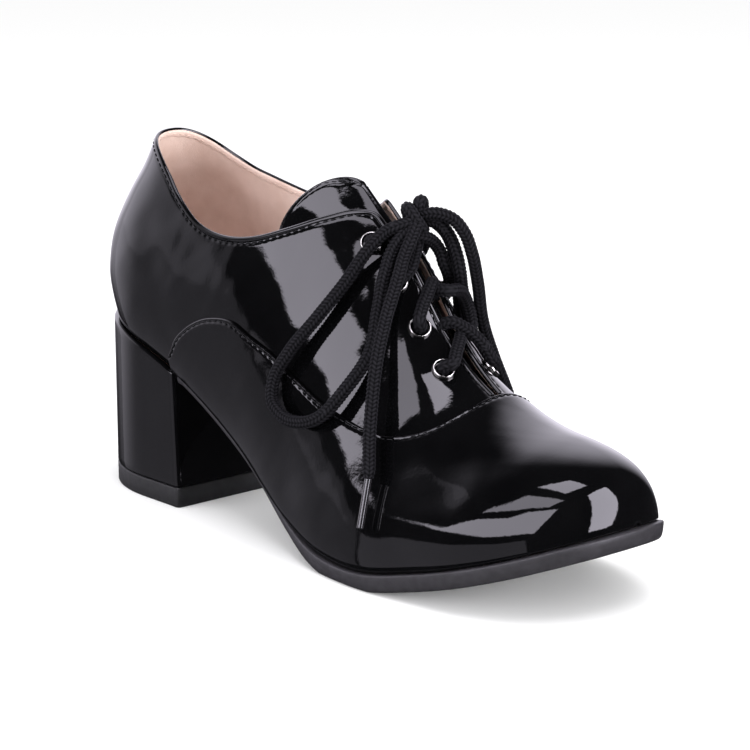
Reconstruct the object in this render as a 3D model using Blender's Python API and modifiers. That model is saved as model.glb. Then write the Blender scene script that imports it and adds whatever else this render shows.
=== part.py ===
"""A right lace-up pump on a block heel, built as separate solids from the shape of its last.

Units are metres.  The toe points along +X, the wearer's left is +Y and up is +Z.
The last is drawn with its heel at x = 0; every solid is then moved by ORIGIN, so that
the middle of the footprint is at the world's origin and the floor is z = 0.
"""
from collections import namedtuple

import bmesh
import bpy
import numpy as np
from mathutils import Matrix, Vector

MM = 0.001
RIGHT = -1
LEFT = 1
GAP = 0.3 * MM
SOLE_GAP = 0.5 * MM
TINY = MM * MM
SHARP_ANGLE = np.radians(40)

# where the last's own axes lie in the finished part
ORIGIN = np.array([121.5, -2.1, 0.0]) * MM

# the last: a row per section, in millimetres, from the back of the heel to the toe
LENGTH = 240 * MM
Section = namedtuple(
    "Section",
    "share sole centre right_feather left_feather right_belly left_belly belly_rise "
    "right_shoulder left_shoulder crown",
)
SECTIONS = (
    Section(0.00, 63.0, 0, 26.0, 26.0, 34, 34.0, 26, 4, 4, 172),
    Section(0.12, 56.5, 0, 26.5, 26.5, 35, 34.0, 26, 5, 5, 168),
    Section(0.25, 46.0, 0, 27.0, 25.0, 36, 34.0, 27, 9, 9, 158),
    Section(0.40, 28.0, 1, 30.0, 20.5, 38, 34.0, 28, 15, 15, 140),
    Section(0.52, 12.5, 3, 37.5, 22.5, 42, 32.0, 22, 17, 14, 119),
    Section(0.61, 6.2, 4, 42.5, 26.0, 46, 32.0, 18, 19, 14, 97),
    Section(0.70, 5.6, 4, 44.0, 30.5, 47, 33.5, 14, 25, 18, 69),
    Section(0.78, 9.5, 4, 42.0, 32.0, 45, 33.0, 12, 30, 20, 55.5),
    Section(0.84, 13.5, 4, 40.5, 31.2, 43, 32.0, 11, 30, 19, 50.5),
    Section(0.90, 18.2, 4, 38.0, 29.0, 39.5, 29.5, 9, 30, 18.5, 48.5),
    Section(1.00, 27.5, 4, 36.0, 25.0, 37, 25.0, 6, 29, 18, 49),
)

# how the ends of the last round off: radius and power of the curve
HEEL_ROUND = (36 * MM, 2.15)
TOE_ROUND = (40 * MM, 2.35)
TOE_DROP = (31 * MM, 2.6)

# forward lean of the back of the heel with height, fading out along the foot
Lean = namedtuple("Lean", "height forward")
BACK_LEAN = (
    Lean(0, 7), Lean(62, 4), Lean(79, 0), Lean(94, 3), Lean(107, 11),
    Lean(116, 18), Lean(126, 23), Lean(150, 32),
)
LEAN_LENGTH = 110 * MM
LEAN_POWER = 1.5

# the collar line: its height on each side against the station along the foot
Collar = namedtuple("Collar", "station right left")
COLLAR = (
    Collar(0, 127.5, 127.5), Collar(10, 125.5, 123.5), Collar(24, 121, 118), Collar(38, 114.5, 114.2),
    Collar(52, 106.5, 111.8), Collar(66, 99.8, 109.4), Collar(80, 97.4, 107), Collar(94, 98.6, 105.2),
    Collar(108, 102.8, 106), Collar(120, 107.4, 109), Collar(129, 109.9, 111.5), Collar(134, 109, 110.6),
    Collar(138, 105.5, 107),
)
COLLAR_FRONT = 138 * MM

# the throat: half of the opening between the facings, wide at the top and narrow at the vamp
THROAT_TOP = (136 * MM, 4.6 * MM)
THROAT_END = (184 * MM, 1.5 * MM)

# the vamp seam: share of the section's rise where the vamp's edge lies
Seam = namedtuple("Seam", "station rise")
SEAM = (
    Seam(0, 0.25), Seam(30, 0.22), Seam(44, 0.13), Seam(54, 0.06), Seam(60, 0.14), Seam(66, 0.195),
    Seam(74, 0.25), Seam(82, 0.29), Seam(90, 0.32), Seam(100, 0.337), Seam(113, 0.367),
    Seam(125, 0.385), Seam(140, 0.41), Seam(155, 0.46), Seam(164, 0.51), Seam(176, 0.56),
    Seam(200, 0.57), Seam(240, 0.5),
)
VAMP_BACK = 54 * MM
VAMP_FRONT = 164 * MM
VAMP_BEND = 20 * MM
BEND_START = 100 * MM
BEND_END = 234 * MM
BEND_POWER = 3.5

# leather layers, measured outward from the last's surface
UPPER_OUTSIDE = -0.7 * MM
UPPER_INSIDE = -2.1 * MM
VAMP_INSIDE = UPPER_OUTSIDE + GAP
VAMP_OUTSIDE = 0.6 * MM
TONGUE_OUTSIDE = -3.1 * MM
TONGUE_INSIDE = -4.6 * MM

# grid of the upper
HEEL_STATIONS = 9
WAIST_STATIONS = 14
TOE_STATIONS = 13
LOW_ROWS = 4
HIGH_ROWS = 8

# tongue
TONGUE_TOP = 123.6 * MM
TONGUE_FOOT = 188 * MM
TONGUE_SPAN = {RIGHT: (0.47, 0.30), LEFT: (0.38, 0.30)}
TONGUE_SLANT = {RIGHT: 0.8, LEFT: 0.15}
SLANT_END = 172 * MM
TONGUE_CURVE = {RIGHT: 31 * MM, LEFT: 60 * MM}
TONGUE_CORNER = (4 * MM, 2.2)
TONGUE_STATIONS = 15
TONGUE_HALF_ROWS = 6

# sole, insole and heel
SOLE_EDGE = 6.0 * MM
SHANK_EDGE = 3.0 * MM
SHANK_END = (108 * MM, 150 * MM)
WELT = 1.8 * MM
TOE_WELT = 2.2 * MM
SHANK_WELT = -0.6 * MM
SOLE_SLOPE = 0.8 * MM
INSOLE_THICKNESS = 2.0 * MM
INSOLE_INSET = 2.6 * MM
HEEL_FRONT_TOP = 57.8 * MM
HEEL_FRONT_BASE = 60.5 * MM
HEEL_COVER = 1.0 * MM
HEEL_FLARE = 1.025
HEEL_CHAMFER = 1.6 * MM
LIFT_HEIGHT = 7.0 * MM

# eyelets: stations of the rings on the facings, counted from the top
EYELET_STATIONS = (136.5, 148.0, 158.8, 169.6)
EYELET_REACH = 10.6 * MM
EYELET_HOLE = 2.8 * MM
EYELET_HOLE_DEPTH = 12 * MM
EYELET_SIDES = 11
Ring = namedtuple("Ring", "radius height")
EYELET_PROFILE = (
    Ring(2.1, 0.95), Ring(2.5, 1.3), Ring(3.2, 1.3), Ring(3.6, 0.95),
    Ring(3.6, 0.65), Ring(2.5, 0.65), Ring(2.5, -1.6), Ring(2.1, -1.6),
)

# lace
LACE_RADIUS = 2.2 * MM
LACE_LIFT = 3.3 * MM
LACE_BEVEL = 2
KNOT_STATION = 142 * MM
KNOT_LIFT = 10.4 * MM
KNOT_SIZE = np.array([7.0, 6.4, 4.6]) * MM
KNOT_LUMP = 0.06
AGLET_RADIUS = 1.6 * MM
AGLET_SIDES = 12
Place = namedtuple("Place", "x y z")
LOOP_RIGHT = (
    Place(146.8, -5.4, 106.3), Place(144.7, -7.8, 104.9), Place(142.4, -11.3, 101.1), Place(136.5, -18.9, 87.9),
    Place(130.8, -25.3, 77.2), Place(123.4, -30.4, 66), Place(119.2, -33.4, 56.5), Place(120.2, -35, 50.6),
    Place(126, -35.9, 46.6), Place(134.5, -36, 45.9), Place(142, -34.9, 48.3), Place(149.4, -29.7, 58.1),
    Place(152.8, -22.4, 69.5), Place(151.2, -17.7, 81.2), Place(149.2, -12.8, 92.6), Place(148.2, -8.6, 99.3),
)
END_RIGHT = (
    Place(152.4, -4.7, 102.6), Place(153, -8.3, 97.5), Place(154.6, -12.2, 91.6), Place(157.4, -20.4, 78.9),
    Place(160.2, -26.4, 67.8), Place(162.9, -31, 54.2), Place(164.9, -33.6, 46.4), Place(168.6, -37.3, 36.3),
)
AGLET_RIGHT = (Place(168.9, -37.7, 35.1), Place(170.3, -42.4, 20.4))
LOOP_LEFT = (
    Place(157, 9.6, 108), Place(159.6, 11.9, 103.7), Place(160.9, 13.8, 97.5), Place(160, 17.4, 87.8),
    Place(158.5, 21.4, 74.4), Place(158.4, 27.4, 60.6), Place(158.6, 32.2, 51), Place(156.2, 35.4, 45),
    Place(152.4, 36.8, 43), Place(148.6, 36, 46), Place(147.4, 33.4, 53), Place(148.8, 28, 64),
    Place(151.4, 22.2, 74.5), Place(155.4, 15, 85.6), Place(157.4, 12.1, 91.5), Place(156.4, 11.2, 97.4),
    Place(153.6, 10.4, 103.1),
)
END_LEFT = (
    Place(148.4, 13.8, 103.2), Place(148.6, 17.6, 97), Place(146.8, 21.4, 85.6), Place(144.6, 25, 75),
    Place(141.6, 29.6, 63), Place(139.8, 33, 51.5),
)
AGLET_LEFT = (Place(139.6, 33.3, 50.3), Place(138.8, 35.6, 35.6))

BLACK_PATENT = (0.012, 0.012, 0.013)
BLACK_RUBBER = (0.02, 0.02, 0.02)
LINING_PINK = (0.55, 0.36, 0.3)
STEEL = (0.7, 0.7, 0.7)
BLACK_CORD = (0.015, 0.015, 0.016)


def clear_scene():
    """Remove every object that the new file starts with."""
    for old in list(bpy.data.objects):
        bpy.data.objects.remove(old, do_unlink=True)


def collection(name):
    """A collection under the scene."""
    made = bpy.data.collections.new(name)
    bpy.context.scene.collection.children.link(made)
    return made


def column(rows, name):
    """One column of a table in millimetres, as metres (shares and rises stay as they are)."""
    values = np.array([getattr(row, name) for row in rows], float)
    if name in ("share", "rise"):
        return values
    return values * MM


def ease(knots, values, at):
    """Smooth curve through the knots, a cubic between each two of them."""
    slopes = np.gradient(values, knots)
    at = np.clip(np.asarray(at, float), knots[0], knots[-1])
    low = np.clip(np.searchsorted(knots, at, side="right") - 1, 0, len(knots) - 2)
    span = knots[low + 1] - knots[low]
    part = (at - knots[low]) / span
    rest = 1 - part
    start = (1 + 2 * part) * rest ** 2 * values[low] + part * rest ** 2 * span * slopes[low]
    end = part ** 2 * (3 - 2 * part) * values[low + 1] - part ** 2 * rest * span * slopes[low + 1]
    return start + end


def end_round(distance, radius, power):
    """Share of the full size that is left at a distance from a rounded end."""
    lack = np.clip(1 - np.asarray(distance, float) / radius, 0, 1)
    return (1 - lack ** power) ** (1 / power)


def soft_step(share):
    """Ease from 0 to 1."""
    share = np.clip(share, 0, 1)
    return share * share * (3 - 2 * share)


def last_value(station, name):
    """A column of the last at a station."""
    return ease(column(SECTIONS, "share"), column(SECTIONS, name), np.asarray(station, float) / LENGTH)


def back_lean(height, station):
    """How far the heel's back leans forward at a height."""
    forward = ease(column(BACK_LEAN, "height"), column(BACK_LEAN, "forward"), height)
    return forward * np.clip(1 - station / LEAN_LENGTH, 0, 1) ** LEAN_POWER


def last_point(station, side, rise):
    """Point on the last: rise 0 is the feather line at the sole and rise 1 the crown."""
    name = "right" if side == RIGHT else "left"
    width = end_round(station, *HEEL_ROUND) * end_round(LENGTH - station, *TOE_ROUND)
    drop = end_round(LENGTH - station, *TOE_DROP)
    sole = last_value(station, "sole")
    crown = sole + (last_value(station, "crown") - sole) * drop
    belly_height = sole + last_value(station, "belly_rise") * drop
    feather = last_value(station, name + "_feather") * width
    belly = last_value(station, name + "_belly") * width
    shoulder = last_value(station, name + "_shoulder") * width
    rest = 1 - rise
    weights = (rest ** 3, 3 * rest ** 2 * rise, 3 * rest * rise ** 2, rise ** 3)
    out = weights[0] * feather + weights[1] * belly + weights[2] * shoulder
    height = weights[0] * sole + weights[1] * belly_height + (weights[2] + weights[3]) * crown
    along = station + back_lean(height, station)
    return np.array([along, last_value(station, "centre") + side * out, height])


def seam_rise(station):
    """Share of the rise where the vamp's edge lies."""
    return float(ease(column(SEAM, "station"), column(SEAM, "rise"), station))


def bend(station):
    """How far forward a station bends toward the crown; one bends along the vamp's front edge."""
    if station <= VAMP_FRONT:
        return VAMP_BEND * soft_step((station - BEND_START) / (VAMP_FRONT - BEND_START))
    return VAMP_BEND * (1 - soft_step((station - VAMP_FRONT) / (BEND_END - VAMP_FRONT)))


def bent_station(station, rise):
    """Station of a point on a bent grid line."""
    seam = seam_rise(station)
    share = np.clip((rise - seam) / (1 - seam), 0, 1)
    return float(station + bend(station) * (1 - (1 - share) ** BEND_POWER))


def skin_point(station, side, rise):
    """Point of the upper's grid."""
    return last_point(bent_station(station, rise), side, rise)


def half_throat(station):
    """Half of the opening between the facings."""
    share = (station - THROAT_TOP[0]) / (THROAT_END[0] - THROAT_TOP[0])
    return THROAT_TOP[1] + (THROAT_END[1] - THROAT_TOP[1]) * share


def is_open(station, side, rise):
    """Whether a point lies above the collar or inside the throat."""
    along = bent_station(station, rise)
    point = last_point(along, side, rise)
    name = "right" if side == RIGHT else "left"
    if along <= COLLAR_FRONT:
        edge = ease(column(COLLAR, "station"), column(COLLAR, name), along)
        if point[2] > edge:
            return True
    if along < THROAT_TOP[0] - 12 * MM:
        return False
    return abs(point[1] - last_value(along, "centre")) < half_throat(along)


def top_rise(station, side):
    """Where the upper ends: at the collar, at the facing's edge, or at the crown."""
    if station >= VAMP_FRONT - 0.1 * MM:
        return 1.0
    low = seam_rise(station)
    steps = np.linspace(low, 1, 120)
    first = next(rise for rise in steps if is_open(station, side, rise))
    inside = first - (steps[1] - steps[0])
    outside = first
    for _ in range(20):
        middle = (inside + outside) / 2
        if is_open(station, side, middle):
            outside = middle
        else:
            inside = middle
    return inside


def upper_stations():
    """Stations from the heel to the toe, close together at both rounded ends."""
    heel = VAMP_BACK * np.linspace(0, 1, HEEL_STATIONS) ** 1.8
    waist = np.linspace(VAMP_BACK, VAMP_FRONT, WAIST_STATIONS)
    toe = LENGTH - (LENGTH - VAMP_FRONT) * np.linspace(1, 0, TOE_STATIONS) ** 1.9
    return np.concatenate([heel, waist[1:], toe[1:]])


def row_rises(station, side):
    """Rises of the grid rows: some below the vamp's edge and some above it."""
    seam = seam_rise(station)
    low = np.linspace(0, seam, LOW_ROWS + 1)
    high = seam + (top_rise(station, side) - seam) * np.linspace(0, 1, HIGH_ROWS + 1) ** 0.85
    return np.concatenate([low, high[1:]])


class Sheet:
    """Faces on welded points."""

    def __init__(self):
        self.keys = {}
        self.points = []
        self.faces = []
        self.tags = []

    def point(self, place):
        """Index of a point; points closer than a micrometre are one."""
        key = tuple(np.round(np.asarray(place) / TINY).astype(int))
        if key not in self.keys:
            self.keys[key] = len(self.points)
            self.points.append(np.asarray(place, float))
        return self.keys[key]

    def face(self, corners, tag):
        """A triangle, or a quad split along its shorter diagonal so that layers facet alike."""
        kept = [c for i, c in enumerate(corners) if c != corners[i - 1]]
        if len(set(kept)) < 3:
            return
        pieces = [tuple(kept)]
        if len(kept) == 4:
            a, b, c, d = kept
            first = np.linalg.norm(self.points[a] - self.points[c])
            second = np.linalg.norm(self.points[b] - self.points[d])
            pieces = [(a, b, c), (a, c, d)] if first <= second else [(b, c, d), (b, d, a)]
        for piece in pieces:
            self.faces.append(piece)
            self.tags.append(tag)


def grid_faces(sheet, grid, side, tag_of):
    """Quads between the neighbouring lines of a grid of point indices, facing outward."""
    for i in range(len(grid) - 1):
        for j in range(len(grid[0]) - 1):
            corners = [grid[i][j], grid[i + 1][j], grid[i + 1][j + 1], grid[i][j + 1]]
            sheet.face(corners if side == RIGHT else corners[::-1], tag_of(i, j))


def upper_sheet():
    """The last's surface from the feather line up to the collar and the throat."""
    sheet = Sheet()
    stations = upper_stations()
    back = int(np.argmin(abs(stations - VAMP_BACK)))
    front = int(np.argmin(abs(stations - VAMP_FRONT)))

    def in_vamp(i, j):
        return i >= front or (i >= back and j < LOW_ROWS)

    for side in (RIGHT, LEFT):
        grid = []
        for station in stations:
            rises = row_rises(station, side)
            grid.append([sheet.point(skin_point(station, side, rise)) for rise in rises])
        grid_faces(sheet, grid, side, in_vamp)
    return sheet


def material(name, colour, roughness, metallic=0.0):
    """Plain Principled material."""
    made = bpy.data.materials.new(name)
    made.use_nodes = True
    shader = next(node for node in made.node_tree.nodes if node.type == "BSDF_PRINCIPLED")
    shader.inputs["Base Color"].default_value = (*colour, 1)
    shader.inputs["Roughness"].default_value = roughness
    shader.inputs["Metallic"].default_value = metallic
    return made


def named(name, data, home, looks):
    """An object of that name in a collection, with its own material and smooth round faces."""
    if isinstance(data, bpy.types.Mesh):
        data.shade_smooth()
        data.set_sharp_from_angle(angle=SHARP_ANGLE)
    made = bpy.data.objects.new(name, data)
    home.objects.link(made)
    if looks is not None:
        data.materials.append(material(name, *looks))
    return made


def solid(name, points, faces, home, looks):
    """A named mesh object, moved into the part's frame and facing out."""
    mesh = bpy.data.meshes.new(name)
    mesh.from_pydata([tuple(p) for p in np.asarray(points) - ORIGIN], [], faces)
    work = bmesh.new()
    work.from_mesh(mesh)
    bmesh.ops.recalc_face_normals(work, faces=work.faces)
    work.to_mesh(mesh)
    work.free()
    return named(name, mesh, home, looks)


def layer(name, sheet, inside, outside, home, looks, keep=None):
    """A leather layer: the sheet's open surface, thickened between two offsets from the last."""
    faces = sheet.faces
    if keep is not None:
        faces = [face for face, tag in zip(sheet.faces, sheet.tags) if keep(tag)]
    used = sorted({c for face in faces for c in face})
    new = {old: k for k, old in enumerate(used)}
    faces = [tuple(new[c] for c in face) for face in faces]
    mesh = bpy.data.meshes.new(name)
    mesh.from_pydata([tuple(sheet.points[c] - ORIGIN) for c in used], [], faces)
    made = named(name, mesh, home, looks)
    wall = made.modifiers.new("wall", "SOLIDIFY")
    wall.thickness = outside - inside
    wall.offset = (outside + inside) / (outside - inside)
    return made


def boolean(target, cutter, operation):
    """Boolean with an exact solver; the cutter is kept as a wire only."""
    modifier = target.modifiers.new(operation.lower(), "BOOLEAN")
    modifier.operation = operation
    modifier.solver = "EXACT"
    modifier.object = cutter
    cutter.hide_render = True
    cutter.display_type = "WIRE"


def feather_loop(stations, grow):
    """Feather line in plan as right and left points, moved outward by grow at each station."""
    right = np.array([last_point(s, RIGHT, 0.0) for s in stations])
    left = np.array([last_point(s, LEFT, 0.0) for s in stations])
    loop = np.concatenate([right, left[::-1]])
    before = np.roll(loop, 1, axis=0)
    after = np.roll(loop, -1, axis=0)
    count = len(stations)
    if np.linalg.norm(right[0] - left[0]) < TINY:
        before[0] = left[1]
        after[-1] = right[1]
    if np.linalg.norm(right[-1] - left[-1]) < TINY:
        after[count - 1] = left[-2]
        before[count] = right[-2]
    tangent = after - before
    outward = np.stack([tangent[:, 1], -tangent[:, 0], 0 * tangent[:, 0]], axis=1)
    outward /= np.linalg.norm(outward, axis=1)[:, None]
    moved = loop + outward * np.concatenate([grow, grow[::-1]])[:, None]
    return moved[:count], moved[count:][::-1]


def slab(right_top, left_top, right_low, left_low):
    """Closed solid from matching points along its right and left edges, above and below."""
    count = len(right_top)
    points = np.concatenate([right_top, left_top, right_low, left_low])
    r, l, rl, ll = (k * count for k in range(4))
    faces = []
    for i in range(count - 1):
        j = i + 1
        faces.append((r + i, r + j, l + j, l + i))
        faces.append((rl + j, rl + i, ll + i, ll + j))
        faces.append((r + j, r + i, rl + i, rl + j))
        faces.append((l + i, l + j, ll + j, ll + i))
    for end in (0, count - 1):
        if np.linalg.norm(right_top[end] - left_top[end]) > GAP:
            faces.append((r + end, l + end, ll + end, rl + end))
    return weld(points, faces)


def weld(points, faces):
    """Join points that lie together and drop the faces that this makes empty."""
    sheet = Sheet()
    index = [sheet.point(p) for p in points]
    for face in faces:
        sheet.face([index[c] for c in face], None)
    return np.array(sheet.points), sheet.faces


def sole_stations(first, last, count, power=1.8):
    """Stations that come closer together toward the toe."""
    return last - (last - first) * np.linspace(1, 0, count) ** power


def station_of_feather(along):
    """Station whose feather point lies at a distance along the shoe."""
    stations = np.linspace(0, LENGTH, 600)
    places = [last_point(s, RIGHT, 0.0)[0] for s in stations]
    return float(np.interp(along, places, stations))


def make_outsole(home):
    """Sole from the toe to the heel breast, flat on the floor under the ball of the foot."""
    first = station_of_feather(HEEL_FRONT_TOP + 0.9 * MM)
    stations = sole_stations(first, LENGTH, 40)
    ball = soft_step((stations - SHANK_END[0]) / (SHANK_END[1] - SHANK_END[0]))
    toe = soft_step((stations - 200 * MM) / (LENGTH - 200 * MM))
    grow = SHANK_WELT + (WELT - SHANK_WELT) * ball + (TOE_WELT - WELT) * toe
    thick = SHANK_EDGE + (SOLE_EDGE - SHANK_EDGE) * ball
    right, left = feather_loop(stations, grow)
    right_low, left_low = feather_loop(stations, grow - SOLE_SLOPE * ball)
    for edge in (right_low, left_low):
        edge[:, 2] = np.maximum(0, edge[:, 2] - thick)
    for edge in (right, left):
        edge[:, 2] -= SOLE_GAP
    points, faces = slab(right, left, right_low, left_low)
    return solid("outsole", points, faces, home, (BLACK_RUBBER, 0.4))


def make_insole(home):
    """Thin board inside the upper, following the seat, the arch and the forefoot."""
    ends = (0.4 * MM, LENGTH - 0.6 * MM)
    half = (ends[0] + ends[1]) / 2
    back = ends[0] + (half - ends[0]) * np.linspace(0, 1, 15) ** 1.8
    stations = np.concatenate([back, sole_stations(half, ends[1], 20)[1:]])
    right, left = feather_loop(stations, np.full(len(stations), -INSOLE_INSET))
    lift = np.array([0, 0, INSOLE_THICKNESS])
    base = np.array([0, 0, GAP])
    points, faces = slab(right + base + lift, left + base + lift, right + base, left + base)
    return solid("insole", points, faces, home, (LINING_PINK, 0.6))


def heel_edges(front, flare, cover):
    """Right and left edges of the heel in plan, with a small chamfer at the breast."""
    last = station_of_feather(HEEL_FRONT_TOP)
    stations = last * np.linspace(0, 1, 14) ** 1.8
    right, left = feather_loop(np.append(stations, last + 8 * MM), np.full(len(stations) + 1, cover))
    edges = []
    for edge, side in ((right, RIGHT), (left, LEFT)):
        edge = edge[:-1].copy()
        start = edge[0, 0]
        edge[:, 0] = start + (edge[:, 0] - start) * (front - start) / (edge[-1, 0] - start)
        edge[:, 1] *= flare
        corner = edge[-1].copy()
        edge[-1, 0] = front - HEEL_CHAMFER
        edge = edge[edge[:, 0] <= front - HEEL_CHAMFER + TINY]
        corner[1] -= side * HEEL_CHAMFER
        edges.append(np.vstack([edge, corner]))
    return edges


def seat_height(along):
    """Height of the feather line at a distance along the shoe."""
    stations = np.linspace(0, 80 * MM, 200)
    feather = np.array([last_point(s, RIGHT, 0.0) for s in stations])
    return np.interp(along, feather[:, 0], feather[:, 2])


def make_heel(home):
    """Covered block under the seat; its top follows the upper's feather line."""
    right, left = heel_edges(HEEL_FRONT_TOP, 1.0, HEEL_COVER)
    right_low, left_low = heel_edges(HEEL_FRONT_BASE, HEEL_FLARE, HEEL_COVER)
    for edge in (right, left):
        edge[:, 2] = seat_height(edge[:, 0]) - SOLE_GAP
    for edge in (right_low, left_low):
        edge[:, 2] = LIFT_HEIGHT + GAP
    points, faces = slab(right, left, right_low, left_low)
    return solid("heel", points, faces, home, (BLACK_PATENT, 0.15))


def make_lift(home):
    """Walking piece under the heel: its outline, extruded to both sides of its middle."""
    right, left = heel_edges(HEEL_FRONT_BASE, HEEL_FLARE, HEEL_COVER)
    outline = np.concatenate([right, left[:0:-1]]) - ORIGIN
    curve = bpy.data.curves.new("heel_top_lift", "CURVE")
    curve.dimensions = "2D"
    curve.fill_mode = "BOTH"
    curve.extrude = LIFT_HEIGHT / 2
    spline = curve.splines.new("POLY")
    spline.points.add(len(outline) - 1)
    for point, place in zip(spline.points, outline):
        point.co = (place[0], place[1], 0, 1)
    spline.use_cyclic_u = True
    lift = named("heel_top_lift", curve, home, (BLACK_RUBBER, 0.6))
    lift.location.z = LIFT_HEIGHT / 2
    return lift


def tongue_point(station, side, rise):
    """Point on the last along a slanted, curved line, as the tongue has slipped to the right."""
    fade = np.clip((SLANT_END - station) / (SLANT_END - TONGUE_TOP), 0, 1)
    along = station
    for _ in range(8):
        point = last_point(along, side, rise)
        across = abs(point[1] - last_value(along, "centre"))
        along = station - fade * (TONGUE_SLANT[side] * across + across ** 2 / TONGUE_CURVE[side])
    return last_point(along, side, rise)


def make_tongue(home):
    """Sheet under the facings, rising above the collar with rounded corners."""
    sheet = Sheet()
    stations = TONGUE_TOP + 0.25 * MM + (TONGUE_FOOT - TONGUE_TOP) * np.linspace(0, 1, TONGUE_STATIONS) ** 1.6
    shares = np.linspace(0, 1, TONGUE_HALF_ROWS + 1)
    for side in (RIGHT, LEFT):
        grid = []
        for station in stations:
            along = (station - TONGUE_TOP) / (TONGUE_FOOT - TONGUE_TOP)
            top_span, foot_span = TONGUE_SPAN[side]
            span = top_span + (foot_span - top_span) * along
            span *= end_round(station - TONGUE_TOP, *TONGUE_CORNER)
            rises = 1 - span * shares[::-1]
            grid.append([sheet.point(tongue_point(station, side, rise)) for rise in rises])
        grid_faces(sheet, grid, side, lambda i, j: True)
    return layer("tongue", sheet, TONGUE_INSIDE, TONGUE_OUTSIDE, home, (BLACK_PATENT, 0.2))


def rise_at(station, side, across):
    """Rise on a section where it is a given distance from the centre line, near the crown."""
    low = 0.5
    high = 1.0
    for _ in range(30):
        middle = (low + high) / 2
        point = last_point(station, side, middle)
        if abs(point[1] - last_value(station, "centre")) > across:
            low = middle
        else:
            high = middle
    return low


def over(station, across, lift):
    """Point above the last, at a signed distance across from the centre line, and the normal there."""
    side = LEFT if across > 0 else RIGHT
    rise = rise_at(station, side, abs(across))
    step = 0.2 * MM
    small = 0.01
    high = min(rise + small, 1.0)
    along = last_point(station + step, side, rise) - last_point(station - step, side, rise)
    upward = last_point(station, side, high) - last_point(station, side, rise - small)
    normal = np.cross(along, upward) * -side
    normal /= np.linalg.norm(normal)
    return last_point(station, side, rise) + normal * lift, normal


def facing(place, axis):
    """Matrix that stands a piece's own +Z along an axis at a place of the last's frame."""
    turn = Vector(axis).to_track_quat("Z", "Y").to_matrix().to_4x4()
    return Matrix.Translation(Vector(place - ORIGIN)) @ turn


def through(places, count):
    """Smooth path through a table of places."""
    knots = np.array([[p.x, p.y, p.z] for p in places]) * MM
    steps = np.concatenate([[0], np.cumsum(np.linalg.norm(np.diff(knots, axis=0), axis=1))])
    at = np.linspace(0, steps[-1], count)
    return np.stack([ease(steps, knots[:, k], at) for k in range(3)], axis=1)


def cord(name, path, radius, home, looks):
    """Round cord along a path, as a bevelled curve with filled caps."""
    curve = bpy.data.curves.new(name, "CURVE")
    curve.dimensions = "3D"
    curve.bevel_depth = radius
    curve.bevel_resolution = LACE_BEVEL
    curve.use_fill_caps = True
    spline = curve.splines.new("POLY")
    spline.points.add(len(path) - 1)
    for point, place in zip(spline.points, path - ORIGIN):
        point.co = (*place, 1)
    return named(name, curve, home, looks)


def as_mesh(curved, home, looks):
    """A mesh object in place of a curve, with its caps welded, so that it can be joined."""
    bpy.context.view_layer.update()
    mesh = bpy.data.meshes.new_from_object(curved.evaluated_get(bpy.context.evaluated_depsgraph_get()))
    work = bmesh.new()
    work.from_mesh(mesh)
    bmesh.ops.remove_doubles(work, verts=work.verts, dist=TINY)
    bmesh.ops.recalc_face_normals(work, faces=work.faces)
    work.to_mesh(mesh)
    work.free()
    name = curved.name
    place = curved.matrix_world.copy()
    bpy.data.objects.remove(curved, do_unlink=True)
    mesh.materials.clear()
    made = named(name, mesh, home, looks)
    made.matrix_world = place
    return made


def eyelet_frames():
    """Name, centre on the upper's outside and axis of every eyelet."""
    frames = []
    for side, name in ((RIGHT, "right"), (LEFT, "left")):
        for k, station in enumerate(EYELET_STATIONS):
            centre, axis = over(station * MM, side * EYELET_REACH, UPPER_OUTSIDE)
            frames.append((f"eyelet_{name}_{k + 1}", centre, axis))
    return frames


def make_eyelet(name, centre, axis, home):
    """Rolled ring, turned from its profile."""
    count = len(EYELET_PROFILE)
    mesh = bpy.data.meshes.new(name)
    points = [(ring.radius * MM, 0, ring.height * MM) for ring in EYELET_PROFILE]
    mesh.from_pydata(points, [(k, (k + 1) % count) for k in range(count)], [])
    made = named(name, mesh, home, (STEEL, 0.25, 1.0))
    screw = made.modifiers.new("turn", "SCREW")
    screw.steps = EYELET_SIDES
    screw.render_steps = EYELET_SIDES
    screw.use_merge_vertices = True
    screw.merge_threshold = TINY
    made.matrix_world = facing(centre, axis)


def make_eyelets(upper, home, cutters):
    """Pierce the facings and set a ring in every hole."""
    work = bmesh.new()
    for name, centre, axis in eyelet_frames():
        make_eyelet(name, centre, axis, home)
        bmesh.ops.create_cone(work, cap_ends=True, segments=EYELET_SIDES, radius1=EYELET_HOLE,
                              radius2=EYELET_HOLE, depth=EYELET_HOLE_DEPTH, matrix=facing(centre, axis))
    mesh = bpy.data.meshes.new("eyelet_hole_cutter")
    work.to_mesh(mesh)
    work.free()
    boolean(upper, named("eyelet_hole_cutter", mesh, cutters, None), "DIFFERENCE")


def strand(start, end):
    """Path of a lace strand over the throat between two eyelets, given as station and reach."""
    shares = np.linspace(0, 1, 9)
    return np.array([over(start[0] + (end[0] - start[0]) * s, start[1] + (end[1] - start[1]) * s + 1e-7,
                          LACE_LIFT)[0] for s in shares])


def make_crossings(home, cutters):
    """Lace over the throat: crossed pairs of strands from eyelet to eyelet, joined."""
    rows = [station * MM for station in EYELET_STATIONS]
    looks = (BLACK_CORD, 0.8)
    pairs = [(k, side) for k in range(len(rows) - 1, 0, -1) for side in (RIGHT, LEFT)]
    lace = None
    for k, side in pairs:
        path = strand((rows[k], side * EYELET_REACH), (rows[k - 1], -side * EYELET_REACH))
        radius = LACE_RADIUS * (1 + 0.01 * k + 0.005 * side)
        if lace is None:
            lace = as_mesh(cord("lace_crossings", path, radius, home, None), home, looks)
            continue
        piece = as_mesh(cord(f"lace_strand_{k}_{side}", path, radius, cutters, None), cutters, None)
        boolean(lace, piece, "UNION")


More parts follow.
